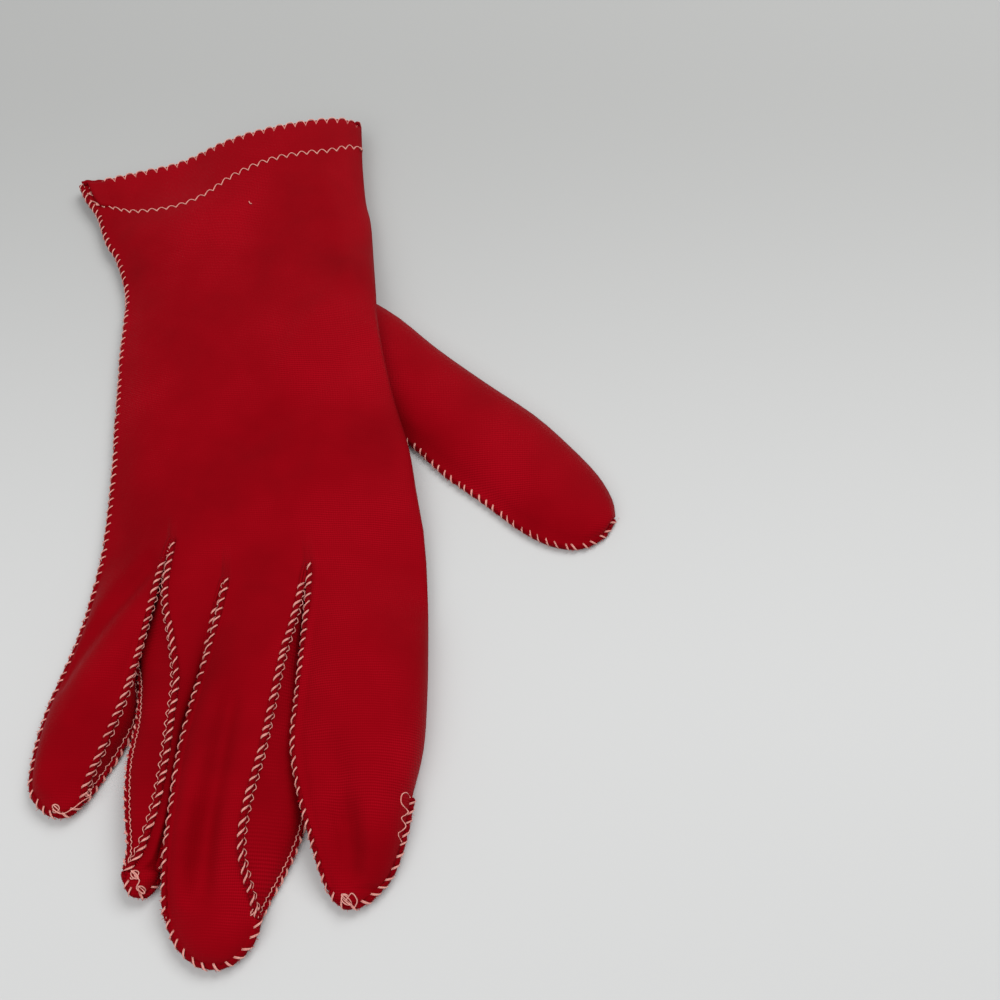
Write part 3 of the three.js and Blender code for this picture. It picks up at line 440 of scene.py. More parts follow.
def sectionAt(finger, t):
    # the corners of a finger's section at a station, and the way each one's ridge stands
    row = rowAt(finger["rows"], t)
    drop = fullness["palmDrop"] * clamp(1 - t / fullness["dropStations"]) ** 2
    joined = t >= finger["tip"]
    corners = {}
    ways = {}
    sides = (("l", "r", finger["left"], -1), ("r", "l", finger["right"], 1))
    for side, other, kind, out in sides:
        back = Vector((row["b" + side], row["y" + side], row["b" + side + "z"]))
        palm = back.copy()
        if kind == "slit":
            if not joined:
                palm = Vector((row["p" + side], row["y" + side] - drop, row["p" + side + "z"]))
            back.x += out * fullness["pinch"] * clamp(1 - t)
        corners["b" + side] = back
        corners["p" + side] = palm
    for side, other, kind, out in sides:
        back, palm = corners["b" + side], corners["p" + side]
        ways["b" + side] = flatWay(back, corners["b" + other]) + flatWay(back, palm)
        way = flatWay(palm, corners["p" + other]) + flatWay(palm, back)
        ways["p" + side] = Vector((out * max(out * way.x, fullness["outwards"]), 0, max(way.z, 0)))
        if kind != "slit":
            ways["b" + side] = ways["p" + side] = Vector((out, 0, 0))
    aim = rowAt(finger["rows"], max(t - fullness["tipReach"], 0))
    heart = Vector(((aim["bl"] + aim["br"]) / 2, aim["yl"], (row["blz"] + row["brz"]) / 2))
    nearTip = smooth((t - finger["tip"]) / fullness["tipEase"] + 1)
    for name, point in corners.items():
        tipWay = (point - heart).normalized()
        ways[name] = ways[name].normalized().lerp(tipWay, nearTip).normalized()
    last = t == len(finger["rows"]) - 1
    return {"t": t, "corners": corners, "ways": ways, "joined": joined, "last": last,
            "heart": heart, "open": 1 - nearTip, "wide": row["wide"], "palmWide": row["palmWide"]}


steps = cloth["stationSteps"]
sections = {name: [sectionAt(fingers[name], k / steps)
                   for k in range((len(fingers[name]["rows"]) - 1) * steps + 1)] for name in order}


def slitSeams(first, second):
    # the seams of the slit between two fingers, from the first one's tip to the fork and up the next
    a = sections[first][:fingers[first]["tip"] * steps + 1][::-1]
    b = sections[second][:fingers[second]["tip"] * steps + 1]
    both = [(section, "r") for section in a] + [(section, "l") for section in b]
    lines = {"b": [], "p": []}
    for section, end in both:
        fade = clamp(1 - section["t"] / fullness["sideFade"])
        ways = {"b": section["ways"]["b" + end].lerp(Vector((0, 0, 1)), fade).normalized(),
                "p": section["ways"]["p" + end] + Vector((0, 0 if section["t"] else -1, 0))}
        for side, way in ways.items():
            lines[side].append((section["corners"][side + end], way))
    return {"sections": both, "apex": len(a),
            "back": seamFrames(lines["b"]), "palm": seamFrames(lines["p"], -1)}


slits = [slitSeams(*pair) for pair in zip(order, order[1:])]


def fanned(t):
    return smooth((t - handShape["fanFrom"]) / (len(handTable) - handShape["fanFrom"]))


def handPoint(row, u, onPalm, pair):
    # a point of the hand's back or palm, where u is 0 at the side seam and 1 at the fold
    nearSeam = 1 - (1 - u) ** handShape["seamTurn"]
    nearFold = math.sqrt(1 - min(u, 1) ** handShape["foldTurn"])
    if onPalm:
        flat = mix(lie, row["under"], clamp((u - pair[1]) / (pair[0] - pair[1])))
    else:
        rise = (u - handShape["crestFrom"]) / (handShape["crestUntil"] - handShape["crestFrom"])
        flat = mix(row["middle"], row["crest"], smooth(rise))
    z = mix(row["seamZ"], mix(row["foldZ"], flat, nearFold), nearSeam)
    if onPalm and z < lie + handShape["settle"]:
        z = lie
    return Vector((mix(row["seamX"], row["foldX"], u), mix(row["seamY"], row["foldY"], u), z))


# Column of the palm at the hole's edge towards the fold
holeColumn = handShape["holeCells"] * cloth["acrossSteps"]


def handRow(t, knucklePoints, onPalm):
    # one row of the hand: its back from the side seam, or its palm from the fold
    row = rowAt(handTable, t)
    last = len(knucklePoints) - 1
    width = row["foldX"] - row["seamX"]
    first, final = handShape["holeFirst"], handShape["holeLast"]
    wide = math.sqrt(max(0, 1 - ((2 * t - first - final) / (final - first)) ** 2))
    middle = row["line"] - row["seamX"]
    holeFold = (middle + handShape["holeEnd"] + handShape["holeOuter"] * wide) / width
    holePalm = (middle - handShape["holeEnd"] - handShape["holeInner"] * wide) / width
    span = knuckles["foldX"] - knuckles["seamX"]
    knuckleU = [(point.x - knuckles["seamX"]) / span for point in knucklePoints]
    us = []
    for c, atKnuckle in enumerate(knuckleU):
        if not onPalm:
            us.append(mix(c / last, atKnuckle, smooth(t / len(handTable))))
            continue
        if c <= holeColumn:
            u = mix(1, holeFold, (c / holeColumn) ** handShape["edgeColumn"])
        else:
            u = holePalm * (1 - (c - holeColumn - 1) / (last - holeColumn - 1))
        us.append(mix(u, atKnuckle, fanned(t)))
    points = []
    for c, u in enumerate(us):
        point = handPoint(row, u, onPalm, (us[holeColumn], us[holeColumn + 1]))
        straight = mix(knuckles["seamY"], knuckles["foldY"], knuckleU[c])
        point.y += (knucklePoints[c].y - straight) * fanned(t) ** 3
        points.append(point)
    return points


handRows = [i / cloth["rowSteps"] for i in range((len(handTable) - 1) * cloth["rowSteps"] + 1)]


def tipSeam(name, lead=()):
    # the joined seam round a fingertip, from its left side over its end to its right side
    stations = sections[name]
    finger = fingers[name]
    first = 0 if finger["left"] == "seam" else finger["tip"] * steps
    until = finger.get("seamFrom", finger["tip"]) * steps
    down = [(s["corners"]["bl"], s["ways"]["bl"]) for s in stations[first:]]
    end = stations[-1]
    over = []
    for c in range(1, finger["cells"]):
        point = end["corners"]["bl"].lerp(end["corners"]["br"], c / finger["cells"])
        over.append((point, (point - end["heart"]).normalized()))
    up = [(s["corners"]["br"], s["ways"]["br"]) for s in stations[until:]][::-1]
    line = [*lead, *down, *over, *up]
    frames = seamFrames(line)
    start = len(lead)
    turned = start + len(down) + len(over)
    if finger["right"] == "fold":
        for i in range(steps):
            frames[-1 - i]["full"] = mix(fullness["seamStart"], 1, smooth(i / steps))
    return {
        "frames": frames,
        "lead": frames[:start],
        "left": {first + i: frames[start + i] for i in range(len(down))},
        "over": frames[start + len(down) - 1:turned + 1],
        "right": {len(stations) - 1 - i: frames[turned + i] for i in range(len(up))},
    }


sideLine = []
for t in handRows:
    row = rowAt(handTable, t)
    sideLine.append((Vector((row["seamX"], row["seamY"], row["seamZ"])), Vector((-1, 0, 0))))
tips = {name: tipSeam(name, sideLine if name == "little" else ()) for name in order}


def stripEnd(name, k, corner):
    # where a finger's strip meets its seam at a station, and the way it leaves it
    f = order.index(name)
    section = sections[name][k]
    left = corner[1] == "l"
    side = "back" if corner[0] == "b" else "palm"
    which = 1 if side == "back" else -1
    seam = tips[name]["left" if left else "right"].get(k)
    if seam:
        return sewn(seam, which), leaning(seam["side"] * which, seam["up"])
    if fingers[name]["right"] == "fold" and not left:
        return section["corners"]["br"], Vector((0, 0, which))
    slit = slits[f - 1] if left else slits[f]
    station = slit["apex"] + k if left else slit["apex"] - 1 - k
    turn = 1 if corner in ("bl", "pr") else -1
    seam = slit[side][station]
    beside = leaning(seam["side"], seam["up"])
    way = beside.lerp(leave(section["ways"][corner], turn), section["open"])
    return sewn(seam, 1), way.normalized()


def fingerStrips(name, k):
    section = sections[name][k]
    finger = fingers[name]
    flatter = 1 - fullness["tipFlat"] * (1 - section["open"])
    full = 0 if section["last"] else smooth(section["t"] / fullness["ease"]) * flatter
    gather = finger["right"] == "fold" and not section["joined"]
    bunch = fullness["bunch"] if gather else 1

    def strip(a, b, wide, spacing):
        start, startWay = stripEnd(name, k, a)
        end, endWay = stripEnd(name, k, b)
        return bulge(start, end, startWay, endWay, wide, finger["cells"], full, spacing)

    back = strip("bl", "br", section["wide"], lambda t: 1 - (1 - t) ** bunch)
    palm = strip("pr", "pl", section["palmWide"], lambda t: t ** bunch)
    return back, palm


def addFingers(sheet):
    # the fingers' strips: rows of points over the back and the palm, from the knuckles to the tips
    strips = {}
    for name in order:
        strips[name] = []
        tip = tips[name]
        for k, section in enumerate(sections[name]):
            back, palm = fingerStrips(name, k)
            if section["last"]:
                for c, seam in enumerate(tip["over"]):
                    back[c] = sewn(seam, 1)
                    palm[len(palm) - 1 - c] = sewn(seam, -1)
            backIds = [sheet.add(point) for point in back]
            shared = fingers[name]["right"] == "fold" and k not in tip["right"]
            palmIds = [backIds[-1]] if shared else [sheet.add(palm[0])]
            palmIds += [sheet.add(point) for point in palm[1:]]
            strips[name].append({"back": backIds, "palm": palmIds})
    return strips


def addHand(sheet, strips):
    # the hand's rows of points from the cuff to the knuckles, with the hole for the thumb
    knuckleBack = [i for name in order for i in strips[name][0]["back"]]
    knucklePalm = [i for name in order[::-1] for i in strips[name][0]["palm"]]
    backPoints = [sheet.points[i] for i in knuckleBack]
    palmPoints = [sheet.points[i] for i in knucklePalm]
    rows = []
    for i, t in enumerate(handRows):
        back = handRow(t, backPoints, False)
        palm = handRow(t, palmPoints, True)
        back[0] = sewn(tips["little"]["lead"][i], 1)
        palm[-1] = sewn(tips["little"]["lead"][i], -1)
        backIds = [sheet.add(point) for point in back]
        rows.append({"t": t, "back": backIds,
                     "palm": [backIds[-1]] + [sheet.add(point) for point in palm[1:]]})
    rows.append({"t": len(handTable), "back": knuckleBack, "palm": knucklePalm})
    hole = {"fold": [], "palm": []}
    for row, following in zip(rows, rows[1:] + [None]):
        if handShape["holeFirst"] <= row["t"] <= handShape["holeLast"]:
            hole["fold"].append(sheet.points[row["palm"][holeColumn]])
            hole["palm"].append(sheet.points[row["palm"][holeColumn + 1]])
        if following is None:
            continue
        sheet.strip(row["back"], following["back"])
        if row["t"] >= handShape["holeFirst"] and following["t"] <= handShape["holeLast"]:
            sheet.strip(row["palm"][:holeColumn + 1], following["palm"][:holeColumn + 1])
            sheet.strip(row["palm"][holeColumn + 1:], following["palm"][holeColumn + 1:])
        else:
            sheet.strip(row["palm"], following["palm"])
    return rows, hole


def closeSeams(sheet, strips, rows):
    # the cloth that stands up along the side seam, round the fingertips and along the slits
    def edgeRow(seam, back, palm):
        rim = [sheet.add(ridgeTip(seam, -1)), sheet.add(ridgeTip(seam, 1))]
        sheet.seams += rim
        return [palm[-1], *rim, back[0]]

    sideRows = [edgeRow(tips["little"]["lead"][i], row["back"], row["palm"])
                for i, row in enumerate(rows[:-1])]
    for name in order:
        tip = tips[name]
        stations = strips[name]
        left = []
        right = []
        for k, row in enumerate(stations):
            mirrored = (row["back"][::-1], row["palm"][::-1])
            left.append(edgeRow(tip["left"][k], row["back"], row["palm"]) if k in tip["left"] else None)
            right.append(edgeRow(tip["right"][k], *mirrored)[::-1] if k in tip["right"] else None)
        backs, palms = ([row[side] for row in stations] for side in ("back", "palm"))
        for k in range(len(stations) - 1):
            for side in (backs, palms, left, right):
                if side[k] and side[k + 1]:
                    sheet.strip(side[k], side[k + 1])
            if right[k + 1] and not right[k] and fingers[name]["right"] == "fold":
                sheet.strip([stations[k]["back"][-1]] * 4, right[k + 1])
        rims = []
        for which, first, final in ((1, left[-1][2], right[-1][1]), (-1, left[-1][1], right[-1][2])):
            between = [sheet.add(ridgeTip(seam, which)) for seam in tip["over"][1:-1]]
            rims.append([first, *between, final])
            sheet.seams += rims[-1]
        sheet.net([stations[-1]["back"], *rims, stations[-1]["palm"][::-1]])
        if name == "little":
            sheet.net([*sideRows, left[0]])
    for s, slit in enumerate(slits):
        first = strips[order[s]]
        second = strips[order[s + 1]]
        for side, firstEnd, secondEnd, flip in (("back", -1, 0, True), ("palm", 0, -1, False)):
            base = [row[side][firstEnd] for row in first[slit["apex"] - 1::-1]]
            base += [row[side][secondEnd] for row in second[:len(slit[side]) - slit["apex"]]]
            rim = [sheet.add(ridgeTip(seam, 1)) for seam in slit[side]]
            sheet.seams += rim
            sheet.strip(rim, base, flip)


def buildTrank():
    # the main sheet: back and palm, folded at the thumb's side
    sheet = Sheet()
    strips = addFingers(sheet)
    rows, hole = addHand(sheet, strips)
    closeSeams(sheet, strips, rows)
    relax(sheet)
    shapeBack(sheet)
    cuffLip(sheet, rows[0]["back"] + rows[0]["palm"][1:], rows[1]["back"] + rows[1]["palm"][1:])
    return sheet, hole


def cuffLip(sheet, edge, behind):
    # the cuff's edge rolls over inwards, where the turned-up band starts
    normals = sheet.normals()
    radius = cloth["layer"] / 2
    last = edge
    for k in range(1, cloth["lipSteps"] + 1):
        angle = math.pi * k / cloth["lipSteps"]
        ring = []
        for i, j in zip(edge, behind):
            out = (sheet.points[i] - sheet.points[j]).normalized()
            roll = out * (radius * math.sin(angle)) - normals[i] * (radius * (1 - math.cos(angle)))
            ring.append(sheet.add(sheet.points[i] + roll))
        sheet.strip(ring, last)
        last = ring


def buildGusset(slit):
    # up one finger's side, over the web between the two fingers and down the next one's
    sheet = Sheet()
    cells = cloth["gussetCells"]
    rows = []
    for i, (section, end) in enumerate(slit["sections"]):
        inner = section["open"]
        back = slit["back"][i]
        palm = slit["palm"][i]
        start = sewn(back, -inner)
        finish = sewn(palm, -inner)
        turn = 1 if end == "r" else -1
        full = smooth(section["t"] / fullness["sideFade"]) * inner
        across = bulge(start, finish, leave(section["ways"]["b" + end], turn),
                       leave(section["ways"]["p" + end], -turn), 0, cells, full, lambda t: t)
        drop = fullness["webDrop"] * clamp(1 - section["t"] / fullness["dropStations"]) ** 2
        for c, point in enumerate(across):
            v = c / cells
            point.y -= drop * 4 * v * (1 - v)
        tall = cloth["ridge"]
        rows.append([sheet.add(point) for point in
                     (start + back["up"] * tall, *across, finish + palm["up"] * tall)])
    sheet.net(rows, True)
    return sheet


hemShape = {
    "rows": 9,  # rows and columns of points in the turned-up band
    "columns": 160,
    "share": (0.03, 1.06),  # of its depth, from the cuff's edge to its own
    "turns": (0.015, 1.985),  # of the way round the cuff
    "palmDepth": 1.4,
    "palmTurn": 10,  # how soon its depth changes past the seam and the fold
}
# How deep it is, in rows of the hand, from the side seam to the fold
hemDepths = tableOf(("depth",), ((depth,) for depth in (
    1.36, 2.10, 2.35, 2.43, 2.30, 1.94, 1.68, 1.52, 1.50, 1.46, 1.10)))


def acrossCuff(turn):
    # turn goes from 0 to 1 over the cuff's back and on to 2 over its palm
    return turn if turn <= 1 else 2 - turn


def cuffPlace(t, turn):
    return handPoint(rowAt(handTable, t), acrossCuff(turn), turn > 1, handShape["cuffRise"])


def hemDepth(turn):
    u = acrossCuff(turn)
    onBack = rowAt(hemDepths, u * (len(hemDepths) - 1))["depth"]
    if turn <= 1:
        return onBack
    return mix(onBack, hemShape["palmDepth"], smooth(hemShape["palmTurn"] * min(u, 1 - u)))


def buildHem():
    # the band turned up inside the cuff
    sheet = Sheet()
    rows = []
    columns = hemShape["columns"]
    turns = [mix(*hemShape["turns"], k / columns) for k in range(columns + 1)]
    for i in range(hemShape["rows"]):
        f = mix(*hemShape["share"], i / (hemShape["rows"] - 1))
        rows.append([sheet.add(cuffPlace(f * hemDepth(turn), turn)) for turn in turns])
    sheet.net(rows)
    shapeBack(sheet)
    for point, normal in zip(sheet.points, sheet.normals()):
        point -= normal * cloth["layer"]
    return sheet


thumbShape = {
    "rootGap": 0.6,  # from the palm's edge of the hole to the thumb's root
    "rootFirst": 1.4,  # the same at the two ends of the hole
    "rootLast": 1.8,
    "rootDrop": 1.45,  # from the fold's edge of the hole down to the root
    "rootNose": 0.2,
    "rootRidge": 0.4,
    "inset": 0.8,  # how far its folded edge lies in from the table's line
    "turn": 5,  # how late its section turns at its two edges
    "ringSteps": 3,  # rings of points between two rows of the table
    "ridge": 0.8,  # how far its sewn edge stands out
    "seamFirst": 2,  # the ring from which its seam shows
    "seamAim": 1.2,  # rows from its tip back to where the seam over the tip aims
    "seamCells": 12,
}
middleUp = Vector((0, 0, cloth["layer"] / 2))


def thumbRingAt(t, cells):
    # the lower and upper points of the thumb's section, from its folded edge to its sewn one
    row = rowAt(thumbTable, t)
    start = Vector((row["upperX"], row["upperY"], lie))
    end = Vector((row["lowerX"], row["lowerY"], lie))
    across = (end - start).normalized()
    lower = []
    upper = []
    for i in range(cells + 1):
        q = i / cells
        rise = (1 - q ** thumbShape["turn"]) * math.sqrt(1 - (1 - q) ** thumbShape["turn"])
        point = start.lerp(end, q) + across * (thumbShape["inset"] * (1 - q))
        lower.append(point)
        upper.append(Vector((point.x, point.y, lie + mix(cloth["layer"], row["high"], rise))))
    return start, lower, upper, across


def buildThumb(hole):
    # from the hole in the palm, out under the fold to its closed tip
    sheet = Sheet()
    cells = len(hole["palm"]) - 1
    heart = hole["palm"][cells // 2].lerp(hole["fold"][cells // 2], 0.5)

    def inward(point, i, between, down):
        far = {0: thumbShape["rootFirst"], cells: thumbShape["rootLast"]}.get(i, between)
        way = heart - point
        way.z = 0
        moved = point + way.normalized() * far
        moved.z = max(lie, point.z - down)
        return moved

    under = [inward(point, i, thumbShape["rootGap"], 0) for i, point in enumerate(hole["palm"])]
    above = [inward(point, i, 0, thumbShape["rootDrop"]) for i, point in enumerate(hole["fold"])]
    above[-1].z = lie + cloth["layer"]
    above[0].z = lie + 2 * cloth["layer"]

    def ring(upper, nose, lower, out):
        points = [*upper[::-1], nose, *lower, lower[-1] + out, upper[-1] + out]
        return [sheet.add(point) for point in points]

    nose = under[0].lerp(above[0], 0.5) + Vector((0, thumbShape["rootNose"], 0))
    rings = [ring(above, nose, under, Vector((thumbShape["rootRidge"], 0, 0)))]
    count = (len(thumbTable) - 1) * thumbShape["ringSteps"] + 1
    for k in range(count):
        start, lower, upper, across = thumbRingAt(k / thumbShape["ringSteps"], cells)
        rings.append(ring(upper, start + middleUp, lower, across * thumbShape["ridge"]))
    sheet.net([ids + ids[:1] for ids in rings])
    end = rings[-1]
    top = end[:cells + 1]
    bottom = end[cells + 2:2 * cells + 3][::-1]
    sheet.face([bottom[cells], end[cells + 1], top[cells]])
    sheet.strip(top, bottom)
    sheet.face([top[0], end[2 * cells + 4], end[2 * cells + 3], bottom[0]])
    shapeBack(sheet)
    return sheet


# Materials


def feed(tree, value, socket):
    # gives a socket its value, or the output that feeds it
    if isinstance(value, bpy.types.NodeSocket):
        tree.links.new(value, socket)
    else:
        socket.default_value = value


def addNode(tree, kind, inputs):
    node = tree.nodes.new("ShaderNode" + kind)
    for name, value in inputs.items():
        feed(tree, value, node.inputs[name])
    return node


def mathNode(tree, operation, *values):
    node = addNode(tree, "Math", dict(enumerate(values)))
    node.operation = operation
    return node.outputs[0]


def placeOf(tree):
    return addNode(tree, "TexCoord", {}).outputs["Object"]


def noiseOf(tree, place, scale, detail):
    return addNode(tree, "TexNoise", {"Vector": place, "Scale": scale, "Detail": detail}).outputs["Fac"]


def bumpOf(tree, height, look):
    return addNode(tree, "Bump", {"Height": height, "Strength": look["bump"],
                                  "Distance": look["bumpDepth"]}).outputs["Normal"]


def colourRamp(tree, factor, stops):
    node = addNode(tree, "ValToRGB", {"Fac": factor})
    elements = node.color_ramp.elements
    elements[0].position, elements[-1].position = stops[0][0], stops[-1][0]
    for position, colour in stops[1:-1]:
        elements.new(position)
    for element, (position, colour) in zip(elements, stops):
        element.color = (*colour, 1)
    return node.outputs["Color"]


knitLook = {
    "inputs": {"Rib Pitch": 0.0006, "Wale Pitch": 0.00045, "Unevenness": 6},
    "drift": (60, 2),  # scale and detail of each noise
    "cloud": (32, 4),
    "grain": (1800, 3),
    "sway": 0.0016,  # how far the ribs and wales wander
    "ribs": 0.6,
    "wales": 0.4,
    "cloudFrom": 0.47,  # where the knit is at its faintest
    "faint": 0.18,
    "grainHeight": 0.9,
}


def makeKnitGroup(look):
    # fine tricot: ribs across the glove and wales along it, uneven from place to place
    group = bpy.data.node_groups.new("tricot", "ShaderNodeTree")
    for name, value in look["inputs"].items():
        socket = group.interface.new_socket(name, in_out="INPUT", socket_type="NodeSocketFloat")
        socket.default_value = value
    start = group.nodes.new("NodeGroupInput")
    place = placeOf(group)
    axes = addNode(group, "SeparateXYZ", {"Vector": place})
    drift, cloud, grain = (noiseOf(group, place, *look[name]) for name in ("drift", "cloud", "grain"))
    sway = mathNode(group, "MULTIPLY", drift, look["sway"])
    waves = []
    for axis, pitch, share in (("Y", "Rib Pitch", "ribs"), ("X", "Wale Pitch", "wales")):
        moved = mathNode(group, "ADD", axes.outputs[axis], sway)
        turns = mathNode(group, "DIVIDE", moved, start.outputs[pitch])
        wave = mathNode(group, "SINE", mathNode(group, "MULTIPLY", turns, 2 * math.pi))
        waves.append(mathNode(group, "MULTIPLY", wave, look[share]))
    patches = mathNode(group, "SUBTRACT", cloud, look["cloudFrom"])
    strength = mathNode(group, "MULTIPLY", patches, start.outputs["Unevenness"])
    strength.node.use_clamp = True
    shown = mathNode(group, "MULTIPLY", mathNode(group, "ADD", *waves),
                     mathNode(group, "ADD", strength, look["faint"]))
    height = mathNode(group, "ADD", shown, mathNode(group, "MULTIPLY", grain, look["grainHeight"]))
    outputs = {"Height": height, "Thread": shown, "Cloud": cloud}
    for name in outputs:
        group.interface.new_socket(name, in_out="OUTPUT", socket_type="NodeSocketFloat")
    end = group.nodes.new("NodeGroupOutput")
    for name, value in outputs.items():
        group.links.new(value, end.inputs[name])
    return group


tricot = makeKnitGroup(knitLook)


def newMaterial(name, inputsOf):
    # a material, where inputsOf gives its shader's inputs for its node tree
    material = bpy.data.materials.new(name)
    material.use_nodes = True
    tree = material.node_tree
    shader = tree.nodes["Principled BSDF"]
    for key, value in inputsOf(tree).items():
        feed(tree, value, shader.inputs[key])
    return material


nylonLook = {
    "colours": ((0.2, (0.155, 0.0003, 0.0022)),  # deep, red and bright
                (0.5, (0.226, 0.0004, 0.0035)),
                (0.85, (0.305, 0.0012, 0.0064))),
    # multiplies the colours: the gussets' and the cuff fold's copies use it for painted shade, the fibres'
    # for painted light
    "shade": 1.0,
    "ribPitch": 0.0006,
    "threadTone": 0.22,  # how much the knit lightens and darkens the colour
    "bump": 0.3,
    "bumpDepth": 0.00012,
    "shader": {"Roughness": 0.7, "Specular IOR Level": 0.16, "Specular Tint": (1.0, 0.05, 0.10, 1),
               "Sheen Weight": 0.05, "Sheen Roughness": 0.4, "Sheen Tint": (1.0, 0.12, 0.16, 1)},
}


def makeNylon(name, **changes):
    look = {**nylonLook, **changes}

    def inputsOf(tree):
        knit = tree.nodes.new("ShaderNodeGroup")
        knit.node_tree = tricot
        knit.inputs["Rib Pitch"].default_value = look["ribPitch"]
        knitTone = mathNode(tree, "MULTIPLY", knit.outputs["Thread"], look["threadTone"])
        tone = mathNode(tree, "ADD", knitTone, knit.outputs["Cloud"])
        stops = [(position, [value * look["shade"] for value in colour])
                 for position, colour in look["colours"]]
        return {"Base Color": colourRamp(tree, tone, stops),
                "Normal": bumpOf(tree, knit.outputs["Height"], look), **look["shader"]}

    return newMaterial(name, inputsOf)


threadLook = {
    "colours": ((0.25, (0.42, 0.09, 0.075)), (0.6, (0.80, 0.36, 0.30))),
    "speck": (900, 3),  # scale and detail of its noise
    "speckShare": 0.6,
    "twist": 0.0009,
    "twistShare": 0.4,
    "distortion": 2,
    "bump": 0.4,
    "bumpDepth": 0.00005,
    "shader": {"Roughness": 0.5, "Sheen Weight": 0.3},
}


def threadInputs(tree):
    look = threadLook
    place = placeOf(tree)
    wave = addNode(tree, "TexWave", {"Vector": place, "Scale": 1 / look["twist"],
                                     "Distortion": look["distortion"]}).outputs["Fac"]
    tone = mathNode(tree, "ADD",
                    mathNode(tree, "MULTIPLY", noiseOf(tree, place, *look["speck"]), look["speckShare"]),
                    mathNode(tree, "MULTIPLY", wave, look["twistShare"]))
    return {"Base Color": colourRamp(tree, tone, look["colours"]),
            "Normal": bumpOf(tree, wave, look), **look["shader"]}


nylon = makeNylon("redNylon")
# painted shade: a slightly darker copy of the nylon for the strips between the fingers, where shade falls
gussetNylonPaintedShade = makeNylon("gussetNylonPaintedShade", ribPitch=0.0008, shade=0.94)
rawNylon = makeNylon("rawEdgeNylon", ribPitch=0.0009, shade=0.85, bump=0.8, bumpDepth=0.0003)
# painted shade: a darker copy of the nylon for the cuff's folded edge, in place of the shadow under its
# thread's bows
foldNylonPaintedShade = makeNylon("foldNylonPaintedShade", shade=0.72)
# painted light: the loose fibres at the raw edges are a much brighter copy of the nylon, standing for the
# light that shines through them
fuzzNylonPaintedLight = makeNylon("fuzzNylonPaintedLight", ribPitch=0.0009, shade=2.2, bump=0)
paleThread = newMaterial("paleThread", threadInputs)
print("materials made")


# Cloth pieces


def clothPiece(node, sheet, material):
    bm = sheet.bmesh()
    mesh = bpy.data.meshes.new(node + "_cloth")
    bm.to_mesh(mesh)
    bm.free()
    mesh.shade_smooth()
    mesh.materials.append(material)
    piece = addObject(node + "_cloth", mesh)
    wall = piece.modifiers.new("wall", "SOLIDIFY")
    wall.thickness = cloth["thickness"] * millimetre
    wall.offset = 0
    measured = sum(face.area for face in mesh.polygons)
    print(piece.name, len(mesh.polygons), "faces, cloth area", round(measured * 1e4, 1), "cm2")
    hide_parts(node)
    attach(piece, "root")
    return piece


trank, thumbHole = buildTrank()
pieces = {
    "trank": clothPiece("trank", trank, nylon),
    "cuff_hem": clothPiece("cuff_hem", buildHem(), nylon),
    "thumb": clothPiece("thumb", buildThumb(thumbHole), nylon),
}
for i, slit in enumerate(slits):
    node = f"fourchette_{order[i]}_{order[i + 1]}"
    pieces[node] = clothPiece(node, buildGusset(slit), gussetNylonPaintedShade)
print("cloth made")


# Seams: the raw edges that stand outside, the stitches over them and a thread along their foot

# Stitches go round the raw edge from one angle to another, in degrees from the main sheet's side,
# and slide along the seam by lean to each side
forkStitch = {"from": 14, "until": 150, "lean": 1.0}
sideStitch = {"from": -42, "until": 110, "lean": 0.85}
seamLook = {
    "step": 0.35,  # between two points of the raw edge's bead
    "bead": 0.55,  # height of its middle over the seam line
    "radius": 0.74,
    "end": 0.5,  # thickness of its two ends, of its radius
    "scallop": 0.20,  # how far a stitch draws it in
    "uneven": 0.16,  # how much thicker or thinner it is in places
    "grain": 0.9,  # and how closely those follow each other
    "pitch": 2.4,
    "first": (0.3, 1),  # where its first stitch is, of the pitch
    "endGap": 0.5,  # no stitch is closer to a seam's end
    "merge": 5.5,  # length at a fork where one line of stitches serves both its sides
}
stitchLook = {
    "points": 9,
    "reach": 0.74,  # from the middle of the raw edge
    "lift": 0.5,  # how much further out it starts on the cloth beside the raw edge
    "arch": 0.12,  # and how much further out its middle is
    "strand": 0.15,
    "apart": 0.8,  # how far its two strands lie to each side, of their radius
    "over": 0.05,  # how much further out the one lies, and the other further in
    "taper": 0.35,
    "jitter": 0.3,  # how far it slips along the seam
    "leans": (0.75, 1.2),  # chance's share in its lean, its two angles and its strands' radius
    "angles": ((-12, 10), (-12, 12)),
    "radii": (0.85, 1.15),
}
footLook = {"out": 0.96, "wave": 0.34, "up": 0.34, "lift": 0.16, "radius": 0.10, "steps": 8}
fibreLook = {
    "count": 2.2,  # to a millimetre
    "angles": (-10, 190),
    "foot": 0.8,  # its place in the raw edge, of the edge's radius
    "wild": 0.8,  # how far it strays from straight out
    "length": (0.2, 0.5),
    "bend": 0.12,
    "low": 0.05,  # none comes closer to the table
    "radii": [0.05, 0.045, 0.02],
}


def placesAt(lengths, wanted):
    # for each wanted length: the place before it on a line, and the share of the way to the next
    found = []
    i = 0
    for s in wanted:
        while i < len(lengths) - 2 and lengths[i + 1] < s:
            i += 1
        found.append((i, clamp((s - lengths[i]) / max(lengths[i + 1] - lengths[i], 0.001))))
    return found


def resample(frames, step):
    count = max(2, round(frames[-1]["s"] / step))
    wanted = [frames[-1]["s"] * k / count for k in range(count + 1)]
    samples = []
    for s, (i, t) in zip(wanted, placesAt([frame["s"] for frame in frames], wanted)):
        sample = {name: frames[i][name].lerp(frames[i + 1][name], t)
                  for name in ("point", "up", "side", "along")}
        samples.append({**sample, "s": s, "bead": sample["point"] + sample["up"] * seamLook["bead"]})
    return samples


def around(sample, angle):
    return sample["side"] * math.cos(angle) + sample["up"] * math.sin(angle)


